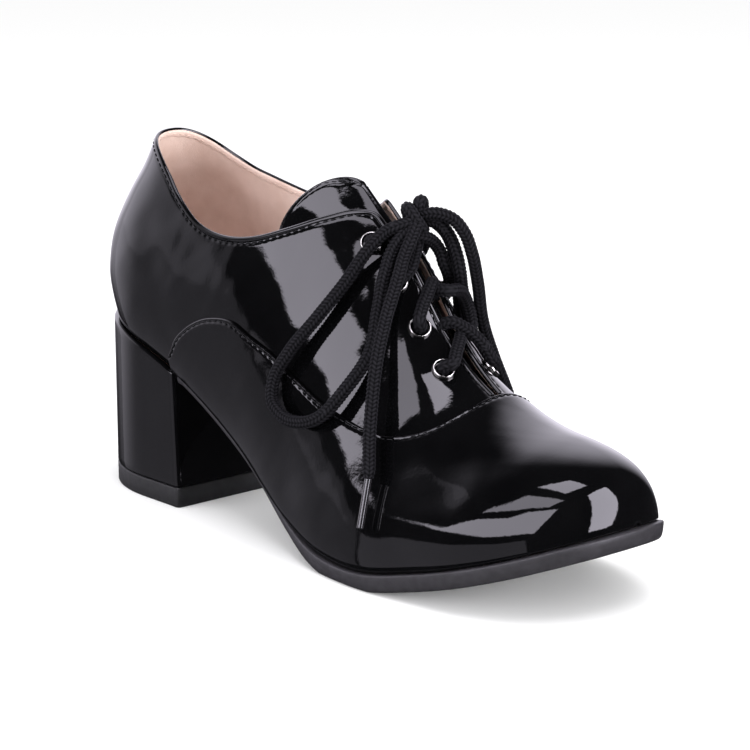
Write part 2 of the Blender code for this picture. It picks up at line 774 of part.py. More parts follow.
def make_knot(home):
    """Rounded, slightly lumpy knot over the top crossing."""
    centre, axis = over(KNOT_STATION, 1e-7, KNOT_LIFT)
    work = bmesh.new()
    bmesh.ops.create_uvsphere(work, u_segments=14, v_segments=8, radius=1)
    for vert in work.verts:
        turn = np.arctan2(vert.co.y, vert.co.x)
        level = np.hypot(vert.co.x, vert.co.y)
        lump = 1 - KNOT_LUMP * np.cos(4 * turn) * level
        vert.co = Vector(np.array(vert.co) * lump * KNOT_SIZE)
    mesh = bpy.data.meshes.new("lace_knot")
    work.to_mesh(mesh)
    work.free()
    named("lace_knot", mesh, home, (BLACK_CORD, 0.8)).matrix_world = facing(centre, axis)


def make_aglet(name, start, end, home):
    """Stiff tip of the lace."""
    ends = np.array([[p.x, p.y, p.z] for p in (start, end)]) * MM
    along = ends[1] - ends[0]
    work = bmesh.new()
    bmesh.ops.create_cone(work, cap_ends=True, segments=AGLET_SIDES, radius1=AGLET_RADIUS,
                          radius2=AGLET_RADIUS, depth=float(np.linalg.norm(along)))
    mesh = bpy.data.meshes.new(name)
    work.to_mesh(mesh)
    work.free()
    named(name, mesh, home, (BLACK_PATENT, 0.2)).matrix_world = facing(ends.mean(axis=0), along)


def make_free_lace(home):
    """Loops, ends and aglets of the bow."""
    for name, places, count in (("lace_loop_right", LOOP_RIGHT, 34), ("lace_loop_left", LOOP_LEFT, 34),
                                ("lace_end_right", END_RIGHT, 18), ("lace_end_left", END_LEFT, 16)):
        cord(name, through(places, count), LACE_RADIUS, home, (BLACK_CORD, 0.8))
    make_aglet("aglet_right", *AGLET_RIGHT, home)
    make_aglet("aglet_left", *AGLET_LEFT, home)


def build():
    """Make every piece of the shoe."""
    clear_scene()
    home = collection("lace_up_pump")
    cutters = collection("cutters")
    sheet = upper_sheet()
    upper = layer("upper", sheet, UPPER_INSIDE, UPPER_OUTSIDE, home, (BLACK_PATENT, 0.12))
    layer("vamp", sheet, VAMP_INSIDE, VAMP_OUTSIDE, home, (BLACK_PATENT, 0.1), keep=bool)
    make_tongue(home)
    make_insole(home)
    make_outsole(home)
    make_heel(home)
    make_lift(home)
    make_eyelets(upper, home, cutters)
    make_crossings(home, cutters)
    make_knot(home)
    make_free_lace(home)


build()
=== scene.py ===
"""The looks of a right lace-up pump in black patent leather, on a block heel.

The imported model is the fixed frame.  Every soft or curved piece is made again here as a fine
mesh from the same last, in metres: the last is drawn with its heel at x = 0, and every piece
is then moved by ORIGIN into the frame's own place.
"""
import math
from collections import namedtuple

import bpy
import numpy as np
from mathutils import Matrix, Vector
from mathutils.bvhtree import BVHTree
from mathutils.kdtree import KDTree

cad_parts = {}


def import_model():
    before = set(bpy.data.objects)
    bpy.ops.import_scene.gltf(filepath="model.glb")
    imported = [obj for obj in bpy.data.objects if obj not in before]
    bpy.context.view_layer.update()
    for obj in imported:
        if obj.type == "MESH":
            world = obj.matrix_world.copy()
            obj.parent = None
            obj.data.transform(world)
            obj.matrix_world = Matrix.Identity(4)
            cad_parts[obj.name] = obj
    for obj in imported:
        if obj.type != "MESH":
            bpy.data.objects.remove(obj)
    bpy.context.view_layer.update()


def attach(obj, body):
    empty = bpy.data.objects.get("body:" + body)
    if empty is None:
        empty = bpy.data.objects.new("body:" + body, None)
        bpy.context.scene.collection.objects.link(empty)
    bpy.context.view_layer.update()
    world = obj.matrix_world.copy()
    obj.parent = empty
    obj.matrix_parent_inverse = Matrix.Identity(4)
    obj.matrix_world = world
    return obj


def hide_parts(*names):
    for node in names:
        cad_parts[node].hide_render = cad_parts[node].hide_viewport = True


MM = 0.001
TINY = MM * MM
RIGHT = -1
LEFT = 1
SIDE_NAMES = {RIGHT: "right", LEFT: "left"}
ORIGIN = np.array([121.5, -2.1, 0.0]) * MM
BODY = "root"

# the last: a row per section, in millimetres, from the back of the heel to the toe
LENGTH = 240 * MM
Section = namedtuple(
    "Section",
    "share sole centre right_feather left_feather right_belly left_belly belly_rise "
    "right_shoulder left_shoulder crown",
)
SECTIONS = (
    Section(0.00, 63.0, 0, 26.0, 26.0, 34, 34.0, 26, 4, 4, 172),
    Section(0.12, 56.5, 0, 26.5, 26.5, 35, 34.0, 26, 5, 5, 168),
    Section(0.25, 46.0, 0, 27.0, 25.0, 36, 34.0, 27, 9, 9, 158),
    Section(0.40, 28.0, 1, 30.0, 20.5, 38, 34.0, 28, 15, 15, 140),
    Section(0.52, 12.5, 3, 37.5, 22.5, 42, 32.0, 22, 17, 14, 119),
    Section(0.61, 6.2, 4, 42.5, 26.0, 46, 32.0, 18, 19, 14, 97),
    Section(0.70, 5.6, 4, 44.0, 30.5, 47, 33.5, 14, 25, 18, 69),
    Section(0.78, 9.5, 4, 42.0, 32.0, 45, 33.0, 12, 30, 20, 55.5),
    Section(0.84, 13.5, 4, 40.5, 31.2, 43, 32.0, 11, 30, 19, 50.5),
    Section(0.90, 18.2, 4, 38.0, 29.0, 39.5, 29.5, 9, 30, 18.5, 48.5),
    Section(1.00, 27.5, 4, 36.0, 25.0, 37, 25.0, 6, 29, 18, 49),
)
HEEL_ROUND = (36 * MM, 2.15)
TOE_ROUND = (40 * MM, 2.35)
TOE_DROP = (31 * MM, 2.6)
Lean = namedtuple("Lean", "height forward")
BACK_LEAN = (
    Lean(0, 7), Lean(62, 4), Lean(79, 0), Lean(94, 3), Lean(107, 11),
    Lean(116, 18), Lean(126, 23), Lean(150, 32),
)
LEAN_LENGTH = 110 * MM
LEAN_POWER = 1.5

# collar line, throat and vamp seam
Collar = namedtuple("Collar", "station right left")
COLLAR = (
    Collar(0, 127.5, 127.5), Collar(10, 125.5, 123.5), Collar(24, 121, 118), Collar(38, 114.5, 114.2),
    Collar(52, 106.5, 111.8), Collar(66, 99.8, 109.4), Collar(80, 97.4, 107), Collar(94, 98.6, 105.2),
    Collar(108, 102.8, 106), Collar(120, 107.4, 109), Collar(129, 109.9, 112.2), Collar(134, 109, 112.2),
    Collar(138, 105.5, 109.8),
)
COLLAR_FRONT = 138 * MM
THROAT_TOP = (136 * MM, 4.6 * MM)
THROAT_END = (184 * MM, 1.5 * MM)
THROAT_REACH = 12 * MM
Seam = namedtuple("Seam", "station rise")
SEAM = (
    Seam(0, 0.25), Seam(30, 0.22), Seam(44, 0.13), Seam(54, 0.06), Seam(60, 0.14), Seam(66, 0.195),
    Seam(74, 0.25), Seam(82, 0.29), Seam(90, 0.32), Seam(100, 0.337), Seam(113, 0.367),
    Seam(125, 0.385), Seam(140, 0.41), Seam(155, 0.46), Seam(164, 0.51), Seam(176, 0.56),
    Seam(200, 0.57), Seam(240, 0.5),
)
VAMP_BACK = 54 * MM
VAMP_FRONT = 164 * MM
VAMP_BEND = 20 * MM
BEND_START = 100 * MM
BEND_END = 234 * MM
BEND_POWER = 3.5

# leather layers, measured outward from the last's surface
QUARTER_OUTSIDE = -0.7 * MM
QUARTER_INSIDE = -1.5 * MM
LINING_OUTSIDE = -1.55 * MM
LINING_INSIDE = -2.1 * MM
VAMP_OUTSIDE = 0.6 * MM
VAMP_INSIDE = -0.4 * MM
TONGUE_OUTSIDE = -3.1 * MM
TONGUE_INSIDE = -4.6 * MM
VAMP_EDGE = 0.5 * MM
TONGUE_EDGE = 0.7 * MM

# fine grids
HEEL_STATIONS = 44
WAIST_STATIONS = 170
FRONT_STATIONS = 26
TOE_STATIONS = 52
TOE_MIDDLE = 14 * MM
LOW_ROWS = 42
HIGH_ROWS = 90
QUARTER_ROWS = 60
QUARTER_CROWDING = 1.6
LINING_STATIONS = (30, 56, 30)
LINING_ROWS = 34
UNDERLAP = 6 * MM
UNDERLAP_STATIONS = 5
EDGE_CROWDING = 2.2
END_CROWDING = 1.9
UPPER_WAVES = 1.5
EDGE_STEP = 0.6 * MM
COLLAR_BELOW = 8
SEAM_BELOW = (12, 14)
TONGUE_BELOW = 4
SEARCH_ROUNDS = 4
SEARCH_STEPS = 80

# folded collar edge, as outward and upward distances from the leather's edge
Fold = namedtuple("Fold", "outward upward")
FOLD = (
    Fold(-0.85, -1.5), Fold(-0.62, -1.1), Fold(-0.5, -0.6), Fold(-0.52, -0.1),
    Fold(-0.72, 0.3), Fold(-1.05, 0.52), Fold(-1.4, 0.52), Fold(-1.75, 0.32),
    Fold(-1.98, -0.05), Fold(-2.02, -0.4), Fold(-1.85, -0.6), Fold(-1.4, -0.7),
)
LINING_BAND = (
    Fold(-1.9, -0.2), Fold(-2.25, -0.25), Fold(-2.42, -0.55), Fold(-2.46, -1.3), Fold(-2.46, -2.1),
    Fold(-2.38, -2.4), Fold(-2.15, -2.5), Fold(-1.9, -2.5),
)
BAND_WOBBLE = 0.14 * MM
WOBBLE_RATES = (0.9, 0.37)
WOBBLE_BELOW = -2
FOLD_STEP = 0.8 * MM

# stitching
STITCH = 2.1 * MM
STITCH_GAP = 0.75 * MM
STITCH_RADIUS = 0.19 * MM
STITCH_END = 0.02
STITCH_RISE = 1.1
STITCH_SINK = 0.75
STITCH_RINGS = 7
STITCH_SIDES = 6
THREAD_STEP = 0.1 * MM
SEAM_ROW = 1.1 * MM
COLLAR_ROW = 1.65 * MM
TONGUE_ROW = 1.5 * MM
LINING_ROW = 1.5 * MM
GROOVE_DEPTH = 0.2 * MM
GROOVE_PUFF = 0.6
GROOVE_WIDTH = 0.5 * MM

# unevenness of the leather: wave length, depth and direction of each wave
Wave = namedtuple("Wave", "length depth along across upward")
WAVES = (
    Wave(23, 0.030, 1.0, 0.3, 0.4), Wave(17, 0.022, -0.4, 0.8, 0.9), Wave(12, 0.014, 0.7, -0.6, 1.0),
    Wave(8, 0.007, 0.9, 0.7, -0.5), Wave(6, 0.004, -0.6, 1.0, 0.6),
)
WAVE_SHIFT = 1.7
WAVE_SWAY = 0.37
PUCKER_DEPTH = 0.55 * MM
PUCKER_WIDTH = 6 * MM

# tongue
TONGUE_TOP = 123.6 * MM
TONGUE_FOOT = 188 * MM
TONGUE_SPAN = {RIGHT: (0.47, 0.30), LEFT: (0.38, 0.30)}
TONGUE_SLANT = {RIGHT: 0.8, LEFT: 0.15}
SLANT_END = 172 * MM
TONGUE_CURVE = {RIGHT: 31 * MM, LEFT: 60 * MM}
TONGUE_CORNER = (4 * MM, 2.2)
TONGUE_BOW = {RIGHT: 5.4 * MM, LEFT: -1.0 * MM}
TONGUE_HALF = 22 * MM
CREST_DEPTH = 1.3 * MM
CREST_REACH = 9 * MM
CREST_ROUND = 1.5 * MM
TONGUE_START = 0.02 * MM
TONGUE_CROWDING = 0.8
TONGUE_STATIONS = 70
TONGUE_HALF_ROWS = 30

# sole, insole and heel
GAP = 0.3 * MM
SOLE_EDGE = 6.0 * MM
SHANK_EDGE = 3.0 * MM
SHANK_END = (108 * MM, 150 * MM)
WELT = 1.8 * MM
TOE_WELT = 2.2 * MM
TOE_WELT_START = 200 * MM
SHANK_WELT = -0.6 * MM
SOLE_SLOPE = 0.24 * MM
SOLE_BACK = 0.9 * MM
SOLE_STATIONS = 150
SOLE_PROFILE = (
    (-2.5, 0.0), (-0.5, 0.0), (-0.15, 0.03), (0.0, 0.1), (0.0, 0.3), (-0.04, 0.5),
    (-0.2, 0.75), (-0.5, 0.9), (-0.85, 0.97), (-1.4, 1.0), (-3.0, 1.0),
)
SOCK_ENDS = (0.4 * MM, LENGTH - 0.6 * MM)
SOCK_STATIONS = (40, 50)
SOCK_CROWDING = 1.8
SOCK_PROFILE = ((9, 1.25), (5, 1.2), (3.2, 1.08), (2.7, 0.8), (2.6, 0.4), (2.6, 0.0))
LIFT_PROFILE = ((6, 7), (0.35, 7), (0.08, 6.9), (0, 6.6), (0, 0.5), (0.15, 0.15), (0.5, 0), (6, 0))
INSOLE_THICKNESS = 2.0 * MM
HEEL_FRONT_TOP = 57.8 * MM
HEEL_FRONT_BASE = 60.5 * MM
HEEL_COVER = 1.0 * MM
HEEL_FLARE = 1.025
HEEL_CORNER = 1.8 * MM
HEEL_ROLL = 0.6 * MM
HEEL_CAP = 6 * MM
HEEL_RINGS = 26
ROLL_STEPS = 5
CORNER_STEPS = 9
PLAN_STATIONS = 60
HEEL_RUN_ON = 8 * MM
BREAST_STEPS = 12
LIFT_HEIGHT = 7.0 * MM

# eyelets
EYELET_STATIONS = (136.5, 148.0, 158.8, 169.6)
EYELET_REACH = 10.6 * MM
EYELET_SIDES = 56
EYELET_RING = (2.85 * MM, 3.65 * MM)
EYELET_HEIGHT = 0.95 * MM
EYELET_BARREL = 2.2 * MM
EYELET_WALL = 0.3 * MM
EYELET_STEPS = 13
EYELET_POWER = 0.8

# lace; its routes are x, y and z in millimetres
LACE_RADIUS = 2.05 * MM
LACE_SIDES = 40
LACE_STEP = 0.26 * MM
LACE_TIP = 1.55 * MM
LACE_TAPER = 2.5 * MM
FIRST_ASIDE = (0.3, 0.2, 0.9)
STRAND_START = (-5, -1, 1.6)
BRAID_COLUMNS = 8
BRAID_PITCH = 1.3 * MM
BRAID_DEPTH = 0.38 * MM
BRAID_SLANT = 0.95
BRAID_POWER = 0.7
BRAID_LEVEL = 0.6
# pointiness range over which the painted shade of the braid's hollows fades to the lighter ridges
BRAID_SHADE_POINTINESS = (0.43, 0.58)
KNOT_CENTRE = (147.2, 2.0, 107.9)
KNOT_TOWARD = np.array([0.72, -0.658, 0.222])
KNOT_SLANT = np.array([0.456, 0.207, -0.868])
KNOT_RING = (3.4 * MM, 4.3 * MM)
KNOT_DRIFT = 1.2 * MM
KNOT_STEPS = 160
AGLET_RADIUS = 1.1 * MM
AGLET_SIDES = 32
AGLET_RINGS = 40
KNOT_ARCH = (
    (147.9, 2, 105.6), (147.5, 2.6, 108.2), (147.2, 3.4, 110.9), (146.8, 4.2, 112.8),
    (146.4, 5.2, 113.4), (146, 6.2, 112.8), (145.6, 6.9, 110.9), (145.4, 7.2, 108.2),
    (145.3, 7.4, 105.4),
)
# each loop and end starts inside the knot, and a loop ends there too
LOOP_RIGHT = (
    (148.6, 1.6, 108), (148.2, -2.6, 107.2), (146.8, -5.4, 106.3), (144.7, -7.8, 104.9),
    (142.4, -11.3, 101.1), (136.5, -18.9, 87.9), (130.8, -25.3, 77.2), (123.4, -30.4, 66),
    (119.2, -33.4, 56.5), (120.2, -35, 50.6), (126, -35.9, 46.6), (134.5, -36, 45.9), (142, -34.9, 48.3),
    (149.4, -29.7, 58.1), (152.8, -22.4, 69.5), (151.2, -17.7, 81.2), (149.2, -12.8, 92.6),
    (148.2, -8.6, 99.3), (148.6, -5.4, 103), (148.6, -1.4, 106),
)
LOOP_LEFT = (
    (148.2, 3.2, 109), (152.6, 5.8, 110), (157, 9.6, 108), (159.6, 11.9, 103.7), (160.9, 13.8, 97.5),
    (160, 17.4, 87.8), (158.5, 21.4, 74.4), (158.4, 27.4, 60.6), (158.6, 32.2, 51), (158.4, 33.8, 48),
    (157.3, 35.2, 45.5), (154.8, 36.3, 43.8), (151.4, 36.5, 43.9), (148.7, 35.8, 45.8),
    (147.5, 34.8, 48.6), (147.3, 33.4, 53), (148.8, 28, 64), (151.4, 22.2, 74.5), (155.4, 15, 85.6),
    (157.4, 12.1, 91.5), (156.4, 11.2, 97.4), (153.6, 10.4, 103.1), (151.6, 8.2, 106.6),
    (148.6, 5.4, 107.6),
)
END_RIGHT = (
    (149, 1.4, 107), (151.4, -1.8, 105.6), (152.4, -4.7, 102.6), (153, -8.3, 97.5), (154.6, -12.2, 91.6),
    (157.4, -20.4, 78.9), (160.2, -26.4, 67.8), (162.9, -31, 54.2), (164.9, -33.6, 46.4),
    (168.6, -37.3, 36.3), (168.9, -37.7, 35.1),
)
END_LEFT = (
    (148.4, 6, 107.6), (147.9, 10, 106.2), (148.4, 13.8, 103.2), (148.6, 17.6, 97), (146.8, 21.4, 85.6),
    (144.6, 25, 75), (141.6, 29.6, 63), (139.8, 33, 51.5), (139.6, 33.3, 50.3),
)
AGLET_END = {"right": (170.3, -42.4, 20.4), "left": (138.8, 35.6, 35.6)}
Strand = namedtuple("Strand", "side row places")
STRANDS = (
    Strand(RIGHT, 3, (
        (172.2, -5.6, 66.4), (170.5, -2.3, 69), (168, 1.4, 71.3), (165.4, 4.8, 72.9),
        (162.4, 8.4, 73.4), (160.6, 11, 71.2),
    )),
    Strand(LEFT, 3, (
        (172, 11.6, 65.8), (171, 9.6, 69.6), (168.8, 7.4, 73), (166, 5, 75.6),
        (163.4, 3, 77), (161.4, 1.8, 76.4), (159.8, 1, 74.2), (158.8, 0.6, 71.6),
    )),
    Strand(RIGHT, 2, (
        (159.8, -8, 78.2), (158.5, -5.6, 82), (157.2, -2.5, 85), (155.2, 1.4, 87.8),
        (153.8, 3.4, 88.4), (152.6, 5, 87.4), (151.6, 6.4, 85), (151, 7.4, 82.4),
    )),
    Strand(LEFT, 2, (
        (158.2, 16.2, 76.4), (157.2, 15.4, 81), (158, 12.2, 84.8), (159.6, 8, 86.2),
        (160, 4.8, 86.5), (157.4, 3.6, 86.3), (154.6, 2.8, 85.2), (152.4, 2, 82.6),
    )),
    Strand(RIGHT, 1, (
        (149.6, -7.2, 90), (151, -4, 92.6), (149.9, -0.8, 96.6), (147.6, 3, 101.2),
        (144.6, 6.6, 101.6),
    )),
    Strand(LEFT, 1, (
        (150.4, 14.2, 87.4), (152.2, 11.4, 91.2), (152, 10, 94), (151.3, 9.6, 96.6),
        (150.2, 8.6, 99.2), (150, 6, 101.4), (149.6, 2, 102.8), (147, -2, 103),
        (143.4, -4.4, 100.6),
    )),
    Strand(RIGHT, 0, (
        (138.4, -7.6, 101.4), (141.4, -5.2, 103.4), (145, -2.4, 105), (148.6, 1, 107.4),
    )),
    Strand(LEFT, 0, (
        (138, 14.2, 98.6), (140.6, 11.4, 102.8), (144.4, 7.6, 106.2), (148.4, 4.4, 108),
    )),
)

# materials
NOISE_RANGE = (0.3, 0.7)
THREAD_TWIST = 4200

# view and light
EYE = (0.6148, -0.4421, 0.2040)
EYE_TURN = (77.2, 0.0, 47.6)
LENS_MM = 98.9
FLOOR_SIZE = 30.0
BOX_AIM = (0.0, 0.0, 0.06)
BOX_DISTANCE = 1.3
SoftBox = namedtuple("SoftBox", "name azimuth elevation wide tall radiance colour")
SOFT_BOXES = (
    SoftBox("near_box", -100, 12, 76, 20, 5.5, (0.98, 0.97, 1.0)),
    SoftBox("top_box", -15, 74, 40, 40, 3.4, (0.98, 0.97, 1.0)),
    SoftBox("front_box", 24, 11, 70, 20, 7.0, (1.0, 1.0, 1.0)),
)
# pale panels that the lacquer mirrors, by the azimuths and elevations of their corners
Panel = namedtuple("Panel", "corners radiance")
PANELS = (
    Panel(((-131, 14), (-97, 13), (-97, 34), (-112, 31)), 5.2),
    Panel(((-97, 13), (-66, 12), (-48, 44), (-88, 41.5), (-97, 34)), 5.2),
    Panel(((-114, 37), (-64, 49), (-42, 56), (-110, 59)), 4.0),
    Panel(((-118, 70), (-40, 67), (20, 70), (63, 85.5)), 6.4),
    Panel(((-3, -6), (23, -8), (38, 53), (-3, 53)), 8.4),
    Panel(((-178, -24), (-136, -24), (-134, 42), (-178, 42)), 0.27),
    Panel(((-178, 2), (-138, 2), (-137, 42), (-178, 42)), 0.22),
    Panel(((-134, -25), (-62, -25), (-70, 3), (-134, 3)), 0.5),
)
PANEL_COLOUR = (0.92, 0.88, 1.0)
PANEL_EDGE = 0.012
SKY_RADIANCE = 1.0
DARK_RADIANCE = 0.03
Lobe = namedtuple("Lobe", "direction spread top radiance")
LOBES = (
    Lobe((-0.679, 0.611, 0.407), (0.7, 0.985), (0.75, 0.98), 2.3),
    Lobe((-0.924, -0.081, 0.375), (0.74, 1.0), (0.75, 0.98), 1.35),
)


def column(rows, name):
    """One column of a table in millimetres, as metres (shares and rises stay as they are)."""
    values = np.array([getattr(row, name) for row in rows], float)
    if name in ("share", "rise"):
        return values
    return values * MM


def ease(knots, values, at):
    """Smooth curve through the knots, a cubic between each two of them."""
    slopes = np.gradient(values, knots)
    at = np.clip(np.asarray(at, float), knots[0], knots[-1])
    low = np.clip(np.searchsorted(knots, at, side="right") - 1, 0, len(knots) - 2)
    span = knots[low + 1] - knots[low]
    part = (at - knots[low]) / span
    rest = 1 - part
    start = (1 + 2 * part) * rest ** 2 * values[low] + part * rest ** 2 * span * slopes[low]
    end = part ** 2 * (3 - 2 * part) * values[low + 1] - part ** 2 * rest * span * slopes[low + 1]
    return start + end


def end_round(distance, radius, power):
    """Share of the full size that is left at a distance from a rounded end."""
    lack = np.clip(1 - np.asarray(distance, float) / radius, 0, 1)
    return (1 - lack ** power) ** (1 / power)


def soft_step(share):
    """Ease from 0 to 1."""
    share = np.clip(share, 0, 1)
    return share * share * (3 - 2 * share)


def unit(vectors):
    """Vectors of length one."""
    vectors = np.asarray(vectors, float)
    return vectors / np.maximum(np.linalg.norm(vectors, axis=-1, keepdims=True), 1e-12)


def last_value(station, name):
    """A column of the last at a station."""
    return ease(column(SECTIONS, "share"), column(SECTIONS, name), np.asarray(station, float) / LENGTH)


def back_lean(height, station):
    """How far the heel's back leans forward at a height."""
    forward = ease(column(BACK_LEAN, "height"), column(BACK_LEAN, "forward"), height)
    return forward * np.clip(1 - station / LEAN_LENGTH, 0, 1) ** LEAN_POWER


def last_point(station, side, rise):
    """Points on the last: rise 0 is the feather line at the sole and rise 1 the crown."""
    station, rise = np.broadcast_arrays(np.asarray(station, float), np.asarray(rise, float))
    name = SIDE_NAMES[side]
    width = end_round(station, *HEEL_ROUND) * end_round(LENGTH - station, *TOE_ROUND)
    drop = end_round(LENGTH - station, *TOE_DROP)
    sole = last_value(station, "sole")
    crown = sole + (last_value(station, "crown") - sole) * drop
    belly_height = sole + last_value(station, "belly_rise") * drop
    feather = last_value(station, name + "_feather") * width
    belly = last_value(station, name + "_belly") * width
    shoulder = last_value(station, name + "_shoulder") * width
    rest = 1 - rise
    weights = (rest ** 3, 3 * rest ** 2 * rise, 3 * rest * rise ** 2, rise ** 3)
    out = weights[0] * feather + weights[1] * belly + weights[2] * shoulder
    height = weights[0] * sole + weights[1] * belly_height + (weights[2] + weights[3]) * crown
    along = station + back_lean(height, station)
    return np.stack([along, last_value(station, "centre") + side * out, height], axis=-1)


def seam_rise(station):
    """Share of the rise where the vamp's edge lies."""
    return ease(column(SEAM, "station"), column(SEAM, "rise"), station)


def bend(station):
    """How far forward a station bends toward the crown; that of VAMP_FRONT follows the vamp's edge."""
    growing = soft_step((station - BEND_START) / (VAMP_FRONT - BEND_START))
    fading = 1 - soft_step((station - VAMP_FRONT) / (BEND_END - VAMP_FRONT))
    return VAMP_BEND * np.where(station <= VAMP_FRONT, growing, fading)


def bent_station(station, rise):
    """Station of a point on a bent grid line."""
    seam = seam_rise(station)
    share = np.clip((rise - seam) / (1 - seam), 0, 1)
    return station + bend(station) * (1 - (1 - share) ** BEND_POWER)


def skin_point(station, side, rise):
    """Points of the upper's grid."""
    return last_point(bent_station(station, rise), side, rise)


def half_throat(station):
    """Half of the opening between the facings."""
    share = (station - THROAT_TOP[0]) / (THROAT_END[0] - THROAT_TOP[0])
    return THROAT_TOP[1] + (THROAT_END[1] - THROAT_TOP[1]) * share


def is_open(station, side, rise):
    """Whether points lie above the collar or inside the throat."""
    along = bent_station(station, rise)
    point = last_point(along, side, rise)
    edge = ease(column(COLLAR, "station"), column(COLLAR, SIDE_NAMES[side]), along)
    over_collar = (along <= COLLAR_FRONT) & (point[..., 2] > edge)
    across = np.abs(point[..., 1] - last_value(along, "centre"))
    in_throat = (along >= THROAT_TOP[0] - THROAT_REACH) & (across < half_throat(along))
    return over_collar | in_throat


def top_rise(station, side):
    """Where the upper ends: at the collar, at the facing's edge, or at the crown."""
    if station >= VAMP_FRONT - 0.1 * MM:
        return 1.0
    low = float(seam_rise(station))
    high = 1.0
    for _ in range(SEARCH_ROUNDS):
        rises = np.linspace(low, high, SEARCH_STEPS)
        first = int(np.argmax(is_open(station, side, rises)))
        low = rises[max(first - 1, 0)]
        high = rises[first]
    return low


def crowded(start, end, count, power=END_CROWDING):
    """Stations from start to end, close together at the start."""
    return start + (end - start) * np.linspace(0, 1, count) ** power


def waist_stations(count):
    """Stations from the vamp's back corner to its front edge."""
    return np.linspace(VAMP_BACK, VAMP_FRONT, count)


def toe_stations():
    """Stations of the vamp in front of its edge, crowded at the edge and at the toe."""
    middle = VAMP_FRONT + TOE_MIDDLE
    front = crowded(VAMP_FRONT, middle, FRONT_STATIONS, EDGE_CROWDING)
    return np.concatenate([front, crowded(LENGTH, middle, TOE_STATIONS)[::-1][1:]])


def weld(points, quads):
    """Join points that lie together and drop what this makes empty."""
    keys = np.round(points / TINY).astype(np.int64)
    _, first, index = np.unique(keys, axis=0, return_index=True, return_inverse=True)
    index = index.reshape(-1)
    faces = []
    for quad in index[quads]:
        kept = [int(c) for i, c in enumerate(quad) if c != quad[i - 1]]
        if len(set(kept)) >= 3:
            faces.append(tuple(kept))
    return points[first], faces, index


def vertex_normals(points, faces):
    """Average normal of the faces round each point."""
    total = np.zeros_like(points)
    for size in (3, 4):
        block = np.array([face for face in faces if len(face) == size], int).reshape(-1, size)
        first = points[block[:, size // 2]] - points[block[:, 0]]
        second = points[block[:, -1]] - points[block[:, 1]]
        flat = np.cross(first, second)
        for k in range(size):
            np.add.at(total, block[:, k], flat)
    return unit(total)


class Skin:
    """Welded surface made of grids of points, with outward normals."""

    def __init__(self, grids):
        points = []
        quads = []
        count = 0
        shapes = []
        for side, grid in grids:
            index = count + np.arange(grid.shape[0] * grid.shape[1]).reshape(grid.shape[:2])
            corners = (index[:-1, :-1], index[1:, :-1], index[1:, 1:], index[:-1, 1:])
            block = np.stack(corners, axis=-1).reshape(-1, 4)
            quads.append(block if side == RIGHT else block[:, ::-1])
            points.append(grid.reshape(-1, 3))
            shapes.append(index)
            count += index.size
        self.points, self.faces, index = weld(np.concatenate(points), np.concatenate(quads))
        self.normals = vertex_normals(self.points, self.faces)
        self.grids = [index[shape] for shape in shapes]

    def rim(self):
        """Directed edges along the surface's open borders."""
        edges = {(face[i - 1], face[i]) for face in self.faces for i in range(len(face))}
        return [(a, b) for a, b in edges if (b, a) not in edges]

    def edge(self, tops, below, step):
        """A border of the surface, from the numbers of its points and of points inside it."""
        return Edge(self.points[tops], self.normals[tops], self.points[below], step)

    def tree(self, lift=0.0):
        """Search tree of the surface, lifted along its normals."""
        moved = self.points + self.normals * lift
        return BVHTree.FromPolygons([tuple(p) for p in moved], self.faces)


def nearest(points, targets):
    """Number of the nearest target and the distance to it, for each point."""
    tree = KDTree(len(targets))
    for k, target in enumerate(targets):
        tree.insert(target, k)
    tree.balance()
    found = [tree.find(point) for point in points]
    return np.array([f[1] for f in found]), np.array([f[2] for f in found])


def rim_points(skin, step=0.2 * MM):
    """Close points along the open borders of a skin."""
    found = []
    for a, b in skin.rim():
        start, end = skin.points[a], skin.points[b]
        count = max(1, int(np.linalg.norm(end - start) / step))
        found += [start + (end - start) * k / count for k in range(count)]
    return np.array(found)


def rounding(distance, radius):
    """How far a surface drops toward an edge of that radius."""
    lack = np.clip(1 - distance / radius, 0, 1)
    return radius * (1 - np.sqrt(1 - lack ** 2))


def shell(skin, inside, outside):
    """Closed wall between two offsets of a skin, which may differ from point to point."""
    inside = np.broadcast_to(inside, len(skin.points))
    outside = np.broadcast_to(outside, len(skin.points))
    outer = skin.points + skin.normals * outside[:, None]
    inner = skin.points + skin.normals * inside[:, None]
    count = len(skin.points)
    backs = [tuple(c + count for c in reversed(face)) for face in skin.faces]
    rims = [(b, a, a + count, b + count) for a, b in skin.rim()]
    return np.concatenate([outer, inner]), skin.faces + backs + rims


def waves(points):
    """Slight unevenness of leather over a last."""
    total = np.zeros(len(points))
    for k, wave in enumerate(WAVES):
        direction = unit([wave.along, wave.across, wave.upward])
        phase = points @ direction * 2 * np.pi / (wave.length * MM)
        total += wave.depth * MM * np.sin(phase + WAVE_SHIFT * k + np.sin(phase * WAVE_SWAY + k))
    return total


def placed(name, data):
    """A new object in the scene."""
    made = bpy.data.objects.new(name, data)
    bpy.context.scene.collection.objects.link(made)
    return made


def piece(name, points, faces, looks, slot, replaced=()):
    """A named, smooth mesh that rides on the shoe."""
    mesh = bpy.data.meshes.new(name)
    mesh.from_pydata([tuple(p) for p in np.asarray(points) - ORIGIN], [], faces)
    mesh.validate()
    mesh.shade_smooth()
    made = placed(name, mesh)
    mesh.materials.append(looks)
    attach(made, BODY)
    if replaced:
        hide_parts(*replaced)
    return made


def joined(parts):
    """Points and faces of several meshes as one."""
    points = []
    faces = []
    count = 0
    for part_points, part_faces in parts:
        points.append(np.asarray(part_points))
        faces += [tuple(c + count for c in face) for face in part_faces]
        count += len(part_points)
    return np.concatenate(points), faces


def lengths_along(path):
    """Distance of every point of a path from its start."""
    return np.concatenate([[0], np.cumsum(np.linalg.norm(np.diff(path, axis=0), axis=1))])


def circle(sides):
    """Even angles round a circle."""
    return np.linspace(0, 2 * np.pi, sides, endpoint=False)


